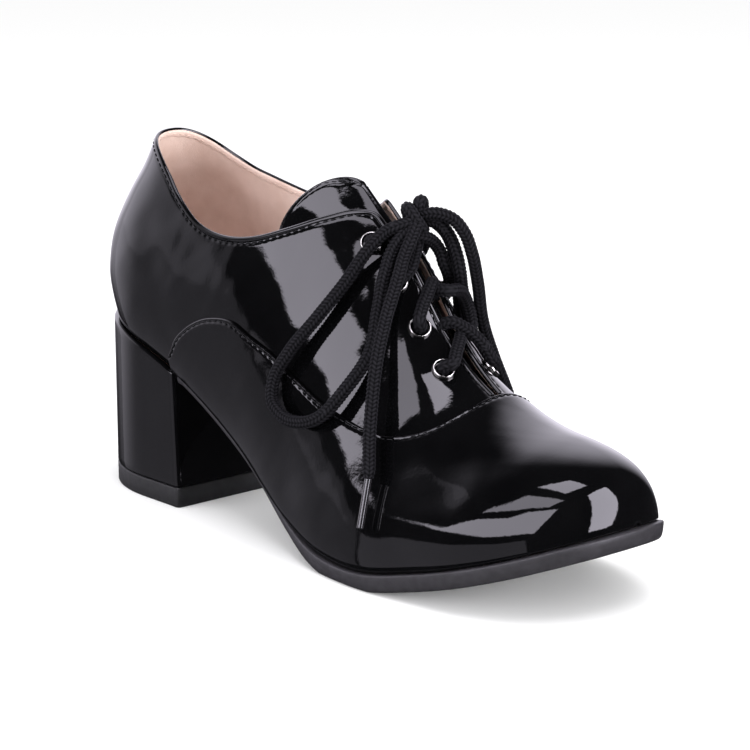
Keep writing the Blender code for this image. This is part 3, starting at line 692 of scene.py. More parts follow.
def resampled(path, step, *others):
    """A path at even steps, with values that go along with it."""
    lengths = lengths_along(path)
    at = np.linspace(0, lengths[-1], max(2, int(lengths[-1] / step) + 1))
    return [np.stack([np.interp(at, lengths, v[:, k]) for k in range(3)], axis=1) for v in (path, *others)]


def smoothed(values, reach):
    """Running average along a path whose ends stay where they are."""
    padded = np.concatenate([np.repeat(values[:1], reach, axis=0), values,
                             np.repeat(values[-1:], reach, axis=0)])
    window = np.hanning(2 * reach + 3)[1:-1]
    window /= window.sum()
    return np.stack([np.convolve(padded[:, k], window, mode="valid") for k in range(3)], axis=1)


class Edge:
    """A line along the border of a surface: places, normals and the direction beyond the border."""

    def __init__(self, path, normals, below, step, smooth=3):
        path, normals, below = resampled(path, step, normals, below)
        self.path = smoothed(path, smooth)
        self.normals = unit(smoothed(normals, smooth))
        along = unit(np.gradient(self.path, axis=0))
        away = self.path - below
        away -= along * np.sum(away * along, axis=1)[:, None]
        away -= self.normals * np.sum(away * self.normals, axis=1)[:, None]
        self.away = unit(smoothed(unit(away), smooth))

    def moved(self, outward, upward):
        """The line, moved along the normals and beyond the border."""
        return self.path + self.normals * outward + self.away * upward


def grid_faces(rows, columns, wrap_rows=False, wrap_columns=True):
    """Faces of a grid of points, which may close on itself either way."""
    index = np.arange(rows * columns).reshape(rows, columns)
    if wrap_rows:
        index = np.vstack([index, index[:1]])
    if wrap_columns:
        index = np.hstack([index, index[:, :1]])
    corners = (index[:-1, :-1], index[:-1, 1:], index[1:, 1:], index[1:, :-1])
    return [tuple(face) for face in np.stack(corners, axis=-1).reshape(-1, 4).tolist()]


def tube_faces(rings, sides):
    """Faces of a capped tube made of rings of points."""
    end = (rings - 1) * sides
    return [tuple(range(sides))[::-1], *grid_faces(rings, sides), tuple(range(end, end + sides))]


def swept(edge, profile, wobble=0.0):
    """Closed strip with one profile along an edge, whose lower rows may waver."""
    count = len(edge.path)
    steps = np.arange(count)
    waver = wobble * (np.sin(steps * WOBBLE_RATES[0]) + np.sin(steps * WOBBLE_RATES[1] + 1))[:, None]
    rows = []
    for row in profile:
        lower = waver if row.upward < WOBBLE_BELOW else 0.0
        rows.append(edge.moved(row.outward * MM, row.upward * MM + lower))
    cap = [k * count for k in range(len(rows))]
    faces = grid_faces(len(rows), count, wrap_rows=True, wrap_columns=False)
    faces += [tuple(cap[::-1]), tuple(k + count - 1 for k in cap)]
    return np.concatenate(rows), faces


def snapped(path, tree):
    """A path laid on a surface, with the surface's normals."""
    found = [tree.find_nearest(Vector(p)) for p in path]
    return np.array([f[0] for f in found]), np.array([f[1] for f in found])


def rings_round(path, aside, up, size):
    """Points of rings round a path; their sizes may vary along it and round it."""
    angles = circle(size.shape[1])
    ring = np.cos(angles)[None, :, None] * aside[:, None] + np.sin(angles)[None, :, None] * up[:, None]
    return (path[:, None] + ring * size[:, :, None]).reshape(-1, 3)


def stitches(path, normals):
    """Short rounded threads in a row along a path on a surface."""
    path, normals = resampled(path, THREAD_STEP, normals)
    step = int(round((STITCH + STITCH_GAP) / THREAD_STEP))
    count = int(round(STITCH / THREAD_STEP))
    shares = np.linspace(0, 1, STITCH_RINGS)
    thick = STITCH_RADIUS * np.sqrt(np.clip(1 - (2 * shares - 1) ** 4, STITCH_END, 1))
    size = np.repeat(thick[:, None], STITCH_SIDES, axis=1)
    rise = STITCH_RADIUS * (STITCH_RISE * np.sin(np.pi * shares) ** 0.6 - STITCH_SINK)
    faces = tube_faces(STITCH_RINGS, STITCH_SIDES)
    parts = []
    for start in range(0, len(path) - count, step):
        at = np.clip((start + shares * count).astype(int), 0, len(path) - 1)
        centre = path[at] + normals[at] * rise[:, None]
        along = unit(np.gradient(centre, axis=0))
        aside = unit(np.cross(along, normals[at]))
        parts.append((rings_round(centre, aside, np.cross(aside, along), size), faces))
    return joined(parts)


def inputs_of(made):
    """Inputs of a material's own shader."""
    return next(node for node in made.node_tree.nodes if node.type == "BSDF_PRINCIPLED").inputs


def shader(name, colour, roughness, **others):
    """Material with a Principled shader; other inputs are given by name."""
    made = bpy.data.materials.new(name)
    made.use_nodes = True
    inputs = inputs_of(made)
    inputs["Base Color"].default_value = (*colour, 1)
    inputs["Roughness"].default_value = roughness
    for key, value in others.items():
        inputs[key.replace("_", " ").title().replace("Ior", "IOR")].default_value = value
    return made


def noise(made, scale, detail=2.0, rough=0.5):
    """Value of a noise texture in the object's own coordinates."""
    tree = made.node_tree
    where = tree.nodes.new("ShaderNodeTexCoord")
    texture = tree.nodes.new("ShaderNodeTexNoise")
    for name, value in (("Scale", scale), ("Detail", detail), ("Roughness", rough)):
        texture.inputs[name].default_value = value
    tree.links.new(where.outputs["Object"], texture.inputs["Vector"])
    return texture.outputs["Fac"]


def bumped(made, source, strength, distance, coat=False):
    """Bump on a shader from a texture's value."""
    tree = made.node_tree
    bump = tree.nodes.new("ShaderNodeBump")
    bump.inputs["Strength"].default_value = strength
    bump.inputs["Distance"].default_value = distance
    tree.links.new(source, bump.inputs["Height"])
    for name in ("Normal", "Coat Normal") if coat else ("Normal",):
        tree.links.new(bump.outputs["Normal"], inputs_of(made)[name])


def spread(tree, source, low, high, smooth=True, top=None):
    """A value's range turned into another, whose upper end may be a value of its own."""
    node = tree.nodes.new("ShaderNodeMapRange")
    node.interpolation_type = "SMOOTHSTEP" if smooth else "LINEAR"
    for name, value in zip(("From Min", "From Max", "To Min", "To Max"), (*low, *high)):
        node.inputs[name].default_value = value
    tree.links.new(source, node.inputs["Value"])
    if top:
        tree.links.new(top, node.inputs["To Max"])
    return node.outputs["Result"]


def roughened(made, scale, low, high):
    """Roughness that varies between two limits."""
    rough = spread(made.node_tree, noise(made, scale), NOISE_RANGE, (low, high), smooth=False)
    made.node_tree.links.new(rough, inputs_of(made)["Roughness"])


def tinted(made, source, dark, light):
    """Base colour that varies between two colours with a texture's value."""
    tree = made.node_tree
    ramp = tree.nodes.new("ShaderNodeValToRGB")
    for stop, position, colour in zip(ramp.color_ramp.elements, NOISE_RANGE, (dark, light)):
        stop.position = position
        stop.color = (*colour, 1)
    tree.links.new(source, ramp.inputs["Fac"])
    tree.links.new(ramp.outputs["Color"], inputs_of(made)["Base Color"])


def patent_leather():
    """Black leather under a clear lacquer, which alone gives the gloss."""
    made = shader("patent_leather", (0.0015, 0.0015, 0.0017), 0.4, specular_ior_level=0.0,
                  coat_weight=1.0, coat_roughness=0.025, coat_ior=1.5)
    bumped(made, noise(made, 900, 3.0), 0.012, 0.001, coat=True)
    tinted(made, noise(made, 60), (0.001, 0.001, 0.0012), (0.002, 0.002, 0.0023))
    return made


def lining_leather():
    """Soft pinkish leather with a fine grain."""
    made = shader("lining_leather", (0.66, 0.5, 0.44), 0.55, sheen_weight=0.1)
    bumped(made, noise(made, 2600, 4.0, 0.6), 0.25, 0.0006)
    tinted(made, noise(made, 90, 3.0), (0.6, 0.44, 0.38), (0.72, 0.56, 0.5))
    return made


def thread():
    """Waxed black sewing thread."""
    made = shader("black_thread", (0.006, 0.006, 0.007), 0.45, specular_ior_level=0.25)
    twist = noise(made, THREAD_TWIST)
    bumped(made, twist, 0.3, 0.0003)
    tinted(made, twist, (0.004, 0.004, 0.005), (0.01, 0.01, 0.011))
    return made


def lining_thread():
    """Thread in the colour of the lining."""
    made = shader("lining_thread", (0.56, 0.41, 0.35), 0.6)
    tinted(made, noise(made, THREAD_TWIST), (0.5, 0.35, 0.29), (0.62, 0.47, 0.41))
    return made


def rubber(name, colour, roughness, grain):
    """Black moulded rubber with a fine grain."""
    made = shader(name, colour, roughness)
    bumped(made, noise(made, 2200, 3.0), grain, 0.0006)
    roughened(made, 300, roughness - 0.05, roughness + 0.07)
    tinted(made, noise(made, 500), colour, tuple(c * 1.5 for c in colour))
    return made


def eyelet_metal():
    """Bright nickel with faint brushing."""
    made = shader("eyelet_nickel", (0.83, 0.81, 0.77), 0.16, metallic=1.0)
    roughened(made, 2500, 0.1, 0.24)
    return made


def lace_cord():
    """Matte black braided polyester, with painted shade that darkens its base colour between the strands of
    its braid.
    """
    made = shader("lace_braid", (0.006, 0.006, 0.007), 0.6, specular_ior_level=0.03)
    bumped(made, noise(made, 6000), 0.35, 0.0003)
    shape = made.node_tree.nodes.new("ShaderNodeNewGeometry")
    # painted shade: height here is the cord's pointiness, which gives the hollows between the braid's strands
    # a darker base colour than their ridges
    height = spread(made.node_tree, shape.outputs["Pointiness"], BRAID_SHADE_POINTINESS, (0.2, 0.8))
    tinted(made, height, (0.0004, 0.0004, 0.0005), (0.0135, 0.013, 0.0155))
    return made


def aglet_plastic():
    """Glossy black film of the lace's tip."""
    made = shader("aglet_film", (0.012, 0.012, 0.013), 0.12, coat_weight=0.6, coat_roughness=0.05)
    bumped(made, noise(made, 1500), 0.05, 0.0005)
    return made


def upper_grids(stations, rows_of):
    """A grid of the upper's points for each side, from a function that gives the rises."""
    grids = []
    for side in (RIGHT, LEFT):
        rises = np.array([rows_of(s, side) for s in stations])
        grids.append((side, skin_point(np.repeat(stations[:, None], rises.shape[1], axis=1), side, rises)))
    return grids


def eyelet_frames():
    """Side, row, centre on the leather's outside and axis of every eyelet."""
    frames = []
    for side in (RIGHT, LEFT):
        for k, station in enumerate(EYELET_STATIONS):
            centre, axis = over(station * MM, side * EYELET_REACH, QUARTER_OUTSIDE)
            frames.append((side, k, centre, axis))
    return frames


def rise_at(station, side, across):
    """Rise on a section where it is a given distance from the centre line, near the crown."""
    low = 0.5
    high = 1.0
    for _ in range(30):
        middle = (low + high) / 2
        point = last_point(station, side, middle)
        if abs(point[1] - last_value(station, "centre")) > across:
            low = middle
        else:
            high = middle
    return low


def over(station, across, lift):
    """Point above the last, at a signed distance across from the centre line, and the normal there."""
    side = LEFT if across > 0 else RIGHT
    rise = rise_at(station, side, abs(across))
    step = 0.2 * MM
    small = 0.01
    high = min(rise + small, 1.0)
    along = last_point(station + step, side, rise) - last_point(station - step, side, rise)
    upward = last_point(station, side, high) - last_point(station, side, rise - small)
    normal = unit(np.cross(along, upward) * -side)
    return last_point(station, side, rise) + normal * lift, normal


def open_skin(stations, shares):
    """Skin of the upper from the feather line to its free edge."""
    tops = {(s, side): top_rise(s, side) for s in stations for side in (RIGHT, LEFT)}
    return Skin(upper_grids(stations, lambda s, side: shares * tops[(s, side)]))


def quarter_skin():
    """Skin of both quarters with the facings, and a little more under the vamp."""
    stations = np.concatenate([crowded(0, VAMP_BACK, HEEL_STATIONS), waist_stations(WAIST_STATIONS)[1:],
                               VAMP_FRONT + np.linspace(0, UNDERLAP, UNDERLAP_STATIONS)[1:]])
    return open_skin(stations, 1 - (1 - np.linspace(0, 1, QUARTER_ROWS)) ** QUARTER_CROWDING), stations


def collar_edge(skin, stations):
    """The upper's free edge, from the right facing round the heel to the left facing."""
    inside = stations < VAMP_FRONT - 0.2 * MM
    right, left = skin.grids
    rows = np.concatenate([right[inside][::-1], left[inside][1:]])
    return skin.edge(rows[:, -1], rows[:, -COLLAR_BELOW], FOLD_STEP)


def puckers(points, centres):
    """Dents of the leather round the eyelets."""
    total = np.zeros(len(points))
    for centre in centres:
        far = np.linalg.norm(points - centre, axis=1)
        total -= PUCKER_DEPTH * np.exp(-(far / PUCKER_WIDTH) ** 2)
    return total


def groove(points, line):
    """Depth of the furrow that a stitched line makes, with the leather puffed up between the holes."""
    at, far = nearest(points, resampled(line, THREAD_STEP)[0])
    phase = at * THREAD_STEP / (STITCH + STITCH_GAP)
    hole = 0.5 + 0.5 * np.cos(2 * np.pi * (phase + 0.5 * STITCH_GAP / (STITCH + STITCH_GAP)))
    share = 1 - GROOVE_PUFF + GROOVE_PUFF * hole
    return -GROOVE_DEPTH * share * np.exp(-(far / GROOVE_WIDTH) ** 2)


def sewn(skin, edge, level, inset):
    """A line of stitching along an edge: its places, normals and the furrow that it makes in the skin."""
    line, normals = snapped(edge.moved(level, -inset), skin.tree(level))
    return line, normals, groove(skin.points + skin.normals * level, line)


def make_quarters(patent, sewing):
    """Quarters with the folded, stitched collar and facings."""
    skin, stations = quarter_skin()
    edge = collar_edge(skin, stations)
    line, normals, furrow = sewn(skin, edge, QUARTER_OUTSIDE, COLLAR_ROW)
    centres = [centre for _, _, centre, _ in eyelet_frames()]
    outside = QUARTER_OUTSIDE + waves(skin.points) * UPPER_WAVES + puckers(skin.points, centres) + furrow
    piece("quarters", *shell(skin, QUARTER_INSIDE, outside), patent, "patent_leather", ("upper",))
    piece("collar_fold", *swept(edge, FOLD), patent, "patent_leather")
    piece("collar_stitches", *stitches(line, normals), sewing, "patent_leather")
    return edge


def make_lining(edge, leather, sewing):
    """Lining inside the whole upper, sewn to the collar's fold."""
    heel, waist, toe = LINING_STATIONS
    front = crowded(LENGTH, VAMP_FRONT, toe)[::-1]
    stations = np.concatenate([crowded(0, VAMP_BACK, heel), waist_stations(waist)[1:], front[1:]])
    skin = open_skin(stations, np.linspace(0, 1, LINING_ROWS))
    piece("lining", *shell(skin, LINING_INSIDE, LINING_OUTSIDE), leather, "lining_leather")
    piece("lining_band", *swept(edge, LINING_BAND, BAND_WOBBLE), leather, "lining_leather")
    row = edge.moved(LINING_BAND[3].outward * MM, -LINING_ROW)
    piece("lining_stitches", *stitches(row, -edge.normals), sewing, "lining_leather")


def vamp_skin():
    """Skin of the vamp: its wings below the seam and its whole front."""
    front = toe_stations()
    stations = np.concatenate([waist_stations(WAIST_STATIONS)[:-1], front])
    low = 1 - np.linspace(1, 0, LOW_ROWS) ** EDGE_CROWDING
    high = np.linspace(0, 1, HIGH_ROWS)
    grids = upper_grids(stations, lambda s, side: low * seam_rise(s))
    grids += upper_grids(front, lambda s, side: seam_rise(s) + (1 - seam_rise(s)) * high)
    return Skin(grids)


def seam_edge(skin):
    """The vamp's upper edge, from the right heel breast over the throat to the left one."""
    right_low, left_low, right_high, left_high = skin.grids
    wing = WAIST_STATIONS - 1
    tops = np.concatenate([right_low[:wing + 1, -1], right_high[0, 1:], left_high[0, ::-1][1:],
                           left_low[:wing, -1][::-1]])
    side_below, front_below = SEAM_BELOW
    below = np.concatenate([right_low[:wing + 1, -side_below], right_high[front_below, 1:],
                            left_high[front_below, ::-1][1:], left_low[:wing, -side_below][::-1]])
    return skin.edge(tops, below, EDGE_STEP)


def make_vamp(patent, sewing):
    """Vamp over the quarters, with a row of stitching along its edge."""
    skin = vamp_skin()
    edge = seam_edge(skin)
    _, border = nearest(skin.points, rim_points(skin))
    line, normals, furrow = sewn(skin, edge, VAMP_OUTSIDE, SEAM_ROW)
    outside = VAMP_OUTSIDE + waves(skin.points) - rounding(border, VAMP_EDGE) + furrow
    piece("vamp_leather", *shell(skin, VAMP_INSIDE, outside), patent, "patent_leather", ("vamp",))
    piece("vamp_stitches", *stitches(line, normals), sewing, "patent_leather")


def tongue_point(station, side, rise):
    """Points on the last along slanted, curved lines, as the tongue has slipped to the right."""
    fade = np.clip((SLANT_END - station) / (SLANT_END - TONGUE_TOP), 0, 1)
    along = station
    for _ in range(8):
        point = last_point(along, side, rise)
        across = np.abs(point[..., 1] - last_value(along, "centre"))
        along = station - fade * (TONGUE_SLANT[side] * across + across ** 2 / TONGUE_CURVE[side])
    return last_point(along, side, rise)


def tongue_bow(points):
    """How far the tongue bends away from the last toward its sides."""
    aside = points[:, 1] - last_value(points[:, 0], "centre")
    across = aside / TONGUE_HALF
    bow = np.where(across < 0, TONGUE_BOW[RIGHT], TONGUE_BOW[LEFT]) * across ** 2
    flank = np.clip((np.hypot(aside, CREST_ROUND) - CREST_ROUND) / CREST_REACH, 0, 1)
    return bow + CREST_DEPTH * flank * (2 - flank)


def make_tongue(patent, sewing):
    """Tongue under the facings, with a stitched edge."""
    stations = crowded(TONGUE_TOP, TONGUE_FOOT, TONGUE_STATIONS) + TONGUE_START
    shares = crowded(0, 1, TONGUE_HALF_ROWS, TONGUE_CROWDING)
    grids = []
    for side in (RIGHT, LEFT):
        top_span, foot_span = TONGUE_SPAN[side]
        along = (stations - TONGUE_TOP) / (TONGUE_FOOT - TONGUE_TOP)
        span = (top_span + (foot_span - top_span) * along) * end_round(stations - TONGUE_TOP, *TONGUE_CORNER)
        rises = 1 - span[:, None] * shares[::-1][None, :]
        grids.append((side, tongue_point(np.repeat(stations[:, None], len(shares), axis=1), side, rises)))
    skin = Skin(grids)
    _, border = nearest(skin.points, rim_points(skin))
    right, left = skin.grids
    rows = np.concatenate([right[::-1], left[1:]])
    edge = skin.edge(rows[:, 0], rows[:, TONGUE_BELOW], EDGE_STEP)
    line, _, furrow = sewn(skin, edge, TONGUE_OUTSIDE, TONGUE_ROW)
    drop = rounding(border, TONGUE_EDGE)
    bow = tongue_bow(skin.points)
    outside = TONGUE_OUTSIDE - drop - bow + waves(skin.points) * UPPER_WAVES + furrow
    wall = shell(skin, TONGUE_INSIDE - bow + drop, outside)
    piece("tongue_leather", *wall, patent, "patent_leather", ("tongue",))
    row, normals = snapped(line, skin.tree(outside[:, None]))
    piece("tongue_stitches", *stitches(row, normals), sewing, "patent_leather")


def feather_loop(stations, grow):
    """Feather line in plan as right and left points, moved outward by grow at each station."""
    right = last_point(stations, RIGHT, 0.0)
    left = last_point(stations, LEFT, 0.0)
    loop = np.concatenate([right, left[::-1]])
    before = np.roll(loop, 1, axis=0)
    after = np.roll(loop, -1, axis=0)
    count = len(stations)
    if np.linalg.norm(right[0] - left[0]) < TINY:
        before[0] = left[1]
        after[-1] = right[1]
    if np.linalg.norm(right[-1] - left[-1]) < TINY:
        after[count - 1] = left[-2]
        before[count] = right[-2]
    tangent = after - before
    outward = unit(np.stack([tangent[:, 1], -tangent[:, 0], 0 * tangent[:, 0]], axis=1))
    moved = loop + outward * np.concatenate([grow, grow[::-1]])[:, None]
    return moved[:count], moved[count:][::-1]


def stacked(rows):
    """Closed solid from rows of matching right and left edges, from its top to its underside."""
    rings = [np.concatenate([right, left[::-1]]) for right, left in rows]
    size = len(rings[0])
    sides = np.array(grid_faces(len(rings), size))[:, ::-1]
    here = np.arange(size // 2 - 1)
    top = np.stack([here, here + 1, size - 2 - here, size - 1 - here], axis=1)
    base = top[:, ::-1] + (len(rings) - 1) * size
    points, faces, _ = weld(np.concatenate(rings), np.concatenate([sides, top, base]))
    return points, faces


def station_of_feather(along):
    """Station whose feather point lies at a distance along the shoe."""
    stations = np.linspace(0, LENGTH, 600)
    return float(np.interp(along, last_point(stations, RIGHT, 0.0)[:, 0], stations))


def make_outsole(looks):
    """Sole with a plain, rounded edge."""
    first = station_of_feather(HEEL_FRONT_TOP + SOLE_BACK)
    stations = crowded(LENGTH, first, SOLE_STATIONS)[::-1]
    ball = soft_step((stations - SHANK_END[0]) / (SHANK_END[1] - SHANK_END[0]))
    toe = soft_step((stations - TOE_WELT_START) / (LENGTH - TOE_WELT_START))
    grow = SHANK_WELT + (WELT - SHANK_WELT) * ball + (TOE_WELT - WELT) * toe
    thick = SHANK_EDGE + (SOLE_EDGE - SHANK_EDGE) * ball
    rows = []
    for out, depth in SOLE_PROFILE:
        right, left = feather_loop(stations, grow + out * MM - SOLE_SLOPE * ball * depth)
        for edge in (right, left):
            low = np.maximum(0, edge[:, 2] - thick)
            top = edge[:, 2] - GAP
            edge[:, 2] = top + (low - top) * depth
        rows.append((right, left))
    piece("outsole_rubber", *stacked(rows), looks, "sole_rubber", ("outsole",))


def make_insole(looks):
    """Padded sock that lies on the insole board."""
    back, front = SOCK_ENDS
    half = (back + front) / 2
    toe = crowded(front, half, SOCK_STATIONS[1], SOCK_CROWDING)[::-1]
    stations = np.concatenate([crowded(back, half, SOCK_STATIONS[0], SOCK_CROWDING), toe[1:]])
    rows = []
    for inset, height in SOCK_PROFILE:
        right, left = feather_loop(stations, np.full(len(stations), -inset * MM))
        for edge in (right, left):
            edge[:, 2] += GAP + INSOLE_THICKNESS * height
        rows.append((right, left))
    piece("insole_sock", *stacked(rows), looks, "lining_leather", ("insole",))


def heel_ring(front, flare, cover, seat):
    """Outline of the heel in plan, closed, with rounded front corners, and a height for every point."""
    last = station_of_feather(HEEL_FRONT_TOP)
    stations = crowded(0, last, PLAN_STATIONS)
    right, left = feather_loop(np.append(stations, last + HEEL_RUN_ON), np.full(len(stations) + 1, cover))
    sides = []
    for edge, side in ((right, RIGHT), (left, LEFT)):
        edge = edge[:-1].copy()
        start = edge[0, 0]
        edge[:, 0] = start + (edge[:, 0] - start) * (front - start) / (edge[-1, 0] - start)
        edge[:, 1] *= flare
        wide = edge[-1, 1]
        edge = edge[edge[:, 0] < front - HEEL_CORNER]
        turn = np.linspace(0, np.pi / 2, CORNER_STEPS)
        corner = np.stack([front - HEEL_CORNER * (1 - np.sin(turn)),
                           wide - side * HEEL_CORNER * (1 - np.cos(turn)), 0 * turn], axis=1)
        inward = np.linspace(corner[-1, 1], 0, BREAST_STEPS + 1)[1:]
        breast = np.stack([np.full(BREAST_STEPS, front), inward, 0 * inward], axis=1)
        sides.append(np.vstack([edge, corner, breast]))
    ring = np.vstack([sides[0], sides[1][::-1][1:-1]])
    ring[:, 2] = seat(ring[:, 0])
    return ring


def seat_height(along):
    """Height of the feather line at a distance along the shoe."""
    stations = np.linspace(0, 80 * MM, 200)
    feather = last_point(stations, RIGHT, 0.0)
    return np.interp(along, feather[:, 0], feather[:, 2])


def inset_ring(ring, distance):
    """A closed outline, moved inward in plan."""
    along = unit((np.roll(ring, -1, axis=0) - np.roll(ring, 1, axis=0)) * (1, 1, 0))
    inward = np.stack([-along[:, 1], along[:, 0], 0 * along[:, 0]], axis=1)
    return ring + inward * distance


def lofted(rings):
    """Closed solid through matching closed outlines, from its top to its underside."""
    return np.concatenate(rings), [face[::-1] for face in tube_faces(len(rings), len(rings[0]))]


def make_heel(patent):
    """Block heel wrapped in patent leather, rounded at its rims."""
    top = heel_ring(HEEL_FRONT_TOP, 1.0, HEEL_COVER, lambda x: seat_height(x) - GAP)
    base = heel_ring(HEEL_FRONT_BASE, HEEL_FLARE, HEEL_COVER, lambda x: 0 * x + LIFT_HEIGHT + GAP)
    drop = np.array([0, 0, HEEL_ROLL])
    turns = np.linspace(0, np.pi / 2, ROLL_STEPS)
    rings = [inset_ring(top, HEEL_CAP)]
    rings += [inset_ring(top, HEEL_ROLL * (1 - np.sin(t))) - drop * (1 - np.cos(t)) for t in turns]
    shares = np.linspace(0, 1, HEEL_RINGS)[1:-1]
    rings += [(top - drop) * (1 - s) + (base + drop) * s for s in shares]
    rings += [inset_ring(base, HEEL_ROLL * (1 - np.cos(t))) + drop * (1 - np.sin(t)) for t in turns]
    rings.append(inset_ring(base, HEEL_CAP))
    piece("heel_cover", *lofted(rings), patent, "patent_leather", ("heel",))


def make_lift(looks):
    """Walking piece under the heel."""
    ring = heel_ring(HEEL_FRONT_BASE, HEEL_FLARE, HEEL_COVER, lambda x: 0 * x)
    rings = [inset_ring(ring, inset * MM) + (0, 0, height * MM) for inset, height in LIFT_PROFILE]
    piece("heel_lift", *lofted(rings), looks, "lift_rubber", ("heel_top_lift",))


def turned(centre, axis, profile, sides):
    """Ring turned about an axis from a closed profile of radius and height."""
    first = unit(np.cross((0.0, 1.0, 0.0), axis))
    second = np.cross(axis, first)
    points = []
    for angle in circle(sides):
        out = np.cos(angle) * first + np.sin(angle) * second
        points += [centre + out * radius + axis * height for radius, height in profile]
    return np.array(points), [face[::-1] for face in grid_faces(sides, len(profile), wrap_rows=True)]


def make_eyelets(metal):
    """Rolled metal rings in the facings."""
    inner, outer = EYELET_RING
    middle = (inner + outer) / 2
    half = (outer - inner) / 2
    turns = np.linspace(0, np.pi, EYELET_STEPS)
    profile = [(middle - half * np.cos(t), EYELET_HEIGHT * np.sin(t) ** EYELET_POWER) for t in turns]
    wall = inner + EYELET_WALL
    profile += [(outer, -EYELET_WALL), (wall, -EYELET_WALL), (wall, -EYELET_BARREL), (inner, -EYELET_BARREL)]
    for side, k, centre, axis in eyelet_frames():
        name = f"eyelet_{SIDE_NAMES[side]}_{k + 1}"
        piece(name + "_ring", *turned(centre, axis, profile, EYELET_SIDES), metal, "eyelet_metal", (name,))


def through(places, step):
    """Smooth path through a table of places."""
    return smooth_path(np.array(places) * MM, step)


def smooth_path(knots, step):
    """Smooth path through points, at even steps."""
    knots = np.asarray(knots)
    steps = lengths_along(knots)
    at = np.linspace(0, steps[-1], max(3, int(steps[-1] / step)))
    path = np.stack([ease(steps, knots[:, k], at) for k in range(3)], axis=1)
    return resampled(path, step)[0]


def braid(lengths, angles):
    """Height of the braid's strands over the cord: columns of slanted bars, leaning by turns."""
    column_at = angles * BRAID_COLUMNS / (2 * np.pi)
    number = np.floor(column_at)
    across = column_at - number - 0.5
    lean = np.where(number % 2 == 0, 1.0, -1.0)
    phase = lengths / BRAID_PITCH + lean * across * BRAID_SLANT
    bars = 0.5 + 0.5 * np.cos(2 * np.pi * phase)
    ridge = np.cos(np.pi * across) ** BRAID_POWER
    return BRAID_DEPTH * (bars ** BRAID_POWER * ridge - BRAID_LEVEL)


def cord_mesh(path, radius=LACE_RADIUS, sides=LACE_SIDES, braided=True):
    """Capped round cord along a path, with its braid in relief; the radius may change along it."""
    tangent = unit(np.gradient(path, axis=0))
    across = np.cross(tangent[0], FIRST_ASIDE)
    aside = []
    for along in tangent:
        across = unit(across - along * (across @ along))
        aside.append(across)
    aside = np.array(aside)
    size = np.repeat(np.broadcast_to(radius, len(path))[:, None], sides, axis=1)
    if braided:
        size = size + braid(lengths_along(path)[:, None], circle(sides)[None, :])
    return rings_round(path, aside, np.cross(tangent, aside), size), tube_faces(len(path), sides)


def strand_path(strand):
    """Lace out of an eyelet and over the throat, then under the other facing or into the knot."""
    station = EYELET_STATIONS[strand.row] * MM
    centre, axis = over(station, strand.side * EYELET_REACH, QUARTER_OUTSIDE)
    knots = [centre + axis * depth * MM for depth in STRAND_START]
    knots += [np.array(place) * MM for place in strand.places]
    return smooth_path(knots, LACE_STEP)


def make_crossings(looks):
    """Lace through the eyelets, crossed over the throat, and its ties up to the knot."""
    parts = [cord_mesh(strand_path(strand)) for strand in STRANDS]
    piece("lace_strands", *joined(parts), looks, "lace_cord", ("lace_crossings",))


def make_knot(looks):
    """Knot of the bow: a slanting turn of the lace round the roots of the loops, and an arch behind it."""
    centre = np.array(KNOT_CENTRE) * MM
    deep, long = KNOT_RING
    turns = np.linspace(-np.pi, np.pi, KNOT_STEPS)
    ring = centre + deep * np.cos(turns)[:, None] * KNOT_TOWARD + long * np.sin(turns)[:, None] * KNOT_SLANT
    ring = ring + np.cross(KNOT_TOWARD, KNOT_SLANT) * (KNOT_DRIFT * turns / np.pi)[:, None]
    parts = [cord_mesh(resampled(ring, LACE_STEP)[0]), cord_mesh(through(KNOT_ARCH, LACE_STEP))]
    piece("lace_knot_turns", *joined(parts), looks, "lace_cord", ("lace_knot",))


def make_aglet(side, start, looks):
    """Film-wrapped tip of the lace."""
    end = np.array(AGLET_END[side]) * MM
    path = start + (end - start) * np.linspace(0, 1, AGLET_RINGS)[:, None]
    points, faces = cord_mesh(path, AGLET_RADIUS, AGLET_SIDES, braided=False)
    return piece("aglet_tip_" + side, points, faces, looks, "aglet_plastic", ("aglet_" + side,))


def make_free_lace(looks, film):
    """Loops and ends of the bow, each a cord of its real length."""
    for where, side, route in (("near", "right", LOOP_RIGHT), ("far", "left", LOOP_LEFT)):
        path = through(route, LACE_STEP)
        made = piece("lace_loop_" + where, *cord_mesh(path), looks, "lace_cord", ("lace_loop_" + side,))
    for where, side, route in (("near", "right", END_RIGHT), ("far", "left", END_LEFT)):
        path = through(route, LACE_STEP)
        left = np.linalg.norm(path - path[-1], axis=1)
        radius = LACE_TIP + (LACE_RADIUS - LACE_TIP) * soft_step(left / LACE_TAPER)
        aglet = make_aglet(side, np.array(route[-1]) * MM, film)
        made = piece("lace_end_" + where, *cord_mesh(path, radius), looks, "lace_cord", ("lace_end_" + side,))


def soft_box(box):
    """Soft box round the shoe, seen neither by the camera nor in reflections."""
    data = bpy.data.lights.new(box.name, "AREA")
    data.shape = "RECTANGLE"
    data.size = 2 * BOX_DISTANCE * math.tan(math.radians(box.wide / 2))
    data.size_y = 2 * BOX_DISTANCE * math.tan(math.radians(box.tall / 2))
    data.energy = box.radiance * math.pi * data.size * data.size_y
    data.color = box.colour
    made = placed(box.name, data)
    turn = math.radians(box.azimuth)
    away = heading(box.azimuth, box.elevation)
    made.location = Vector(BOX_AIM) + away * BOX_DISTANCE
    east = Vector((-math.sin(turn), math.cos(turn), 0))
    made.rotation_euler = Matrix((east, away.cross(east), away)).transposed().to_euler()
    made.visible_camera = False
    made.visible_glossy = False


def heading(azimuth, elevation):
    """Unit vector of an azimuth and an elevation in degrees."""
    turn = math.radians(azimuth)
    rise = math.radians(elevation)
    return Vector((math.cos(turn) * math.cos(rise), math.sin(turn) * math.cos(rise), math.sin(rise)))


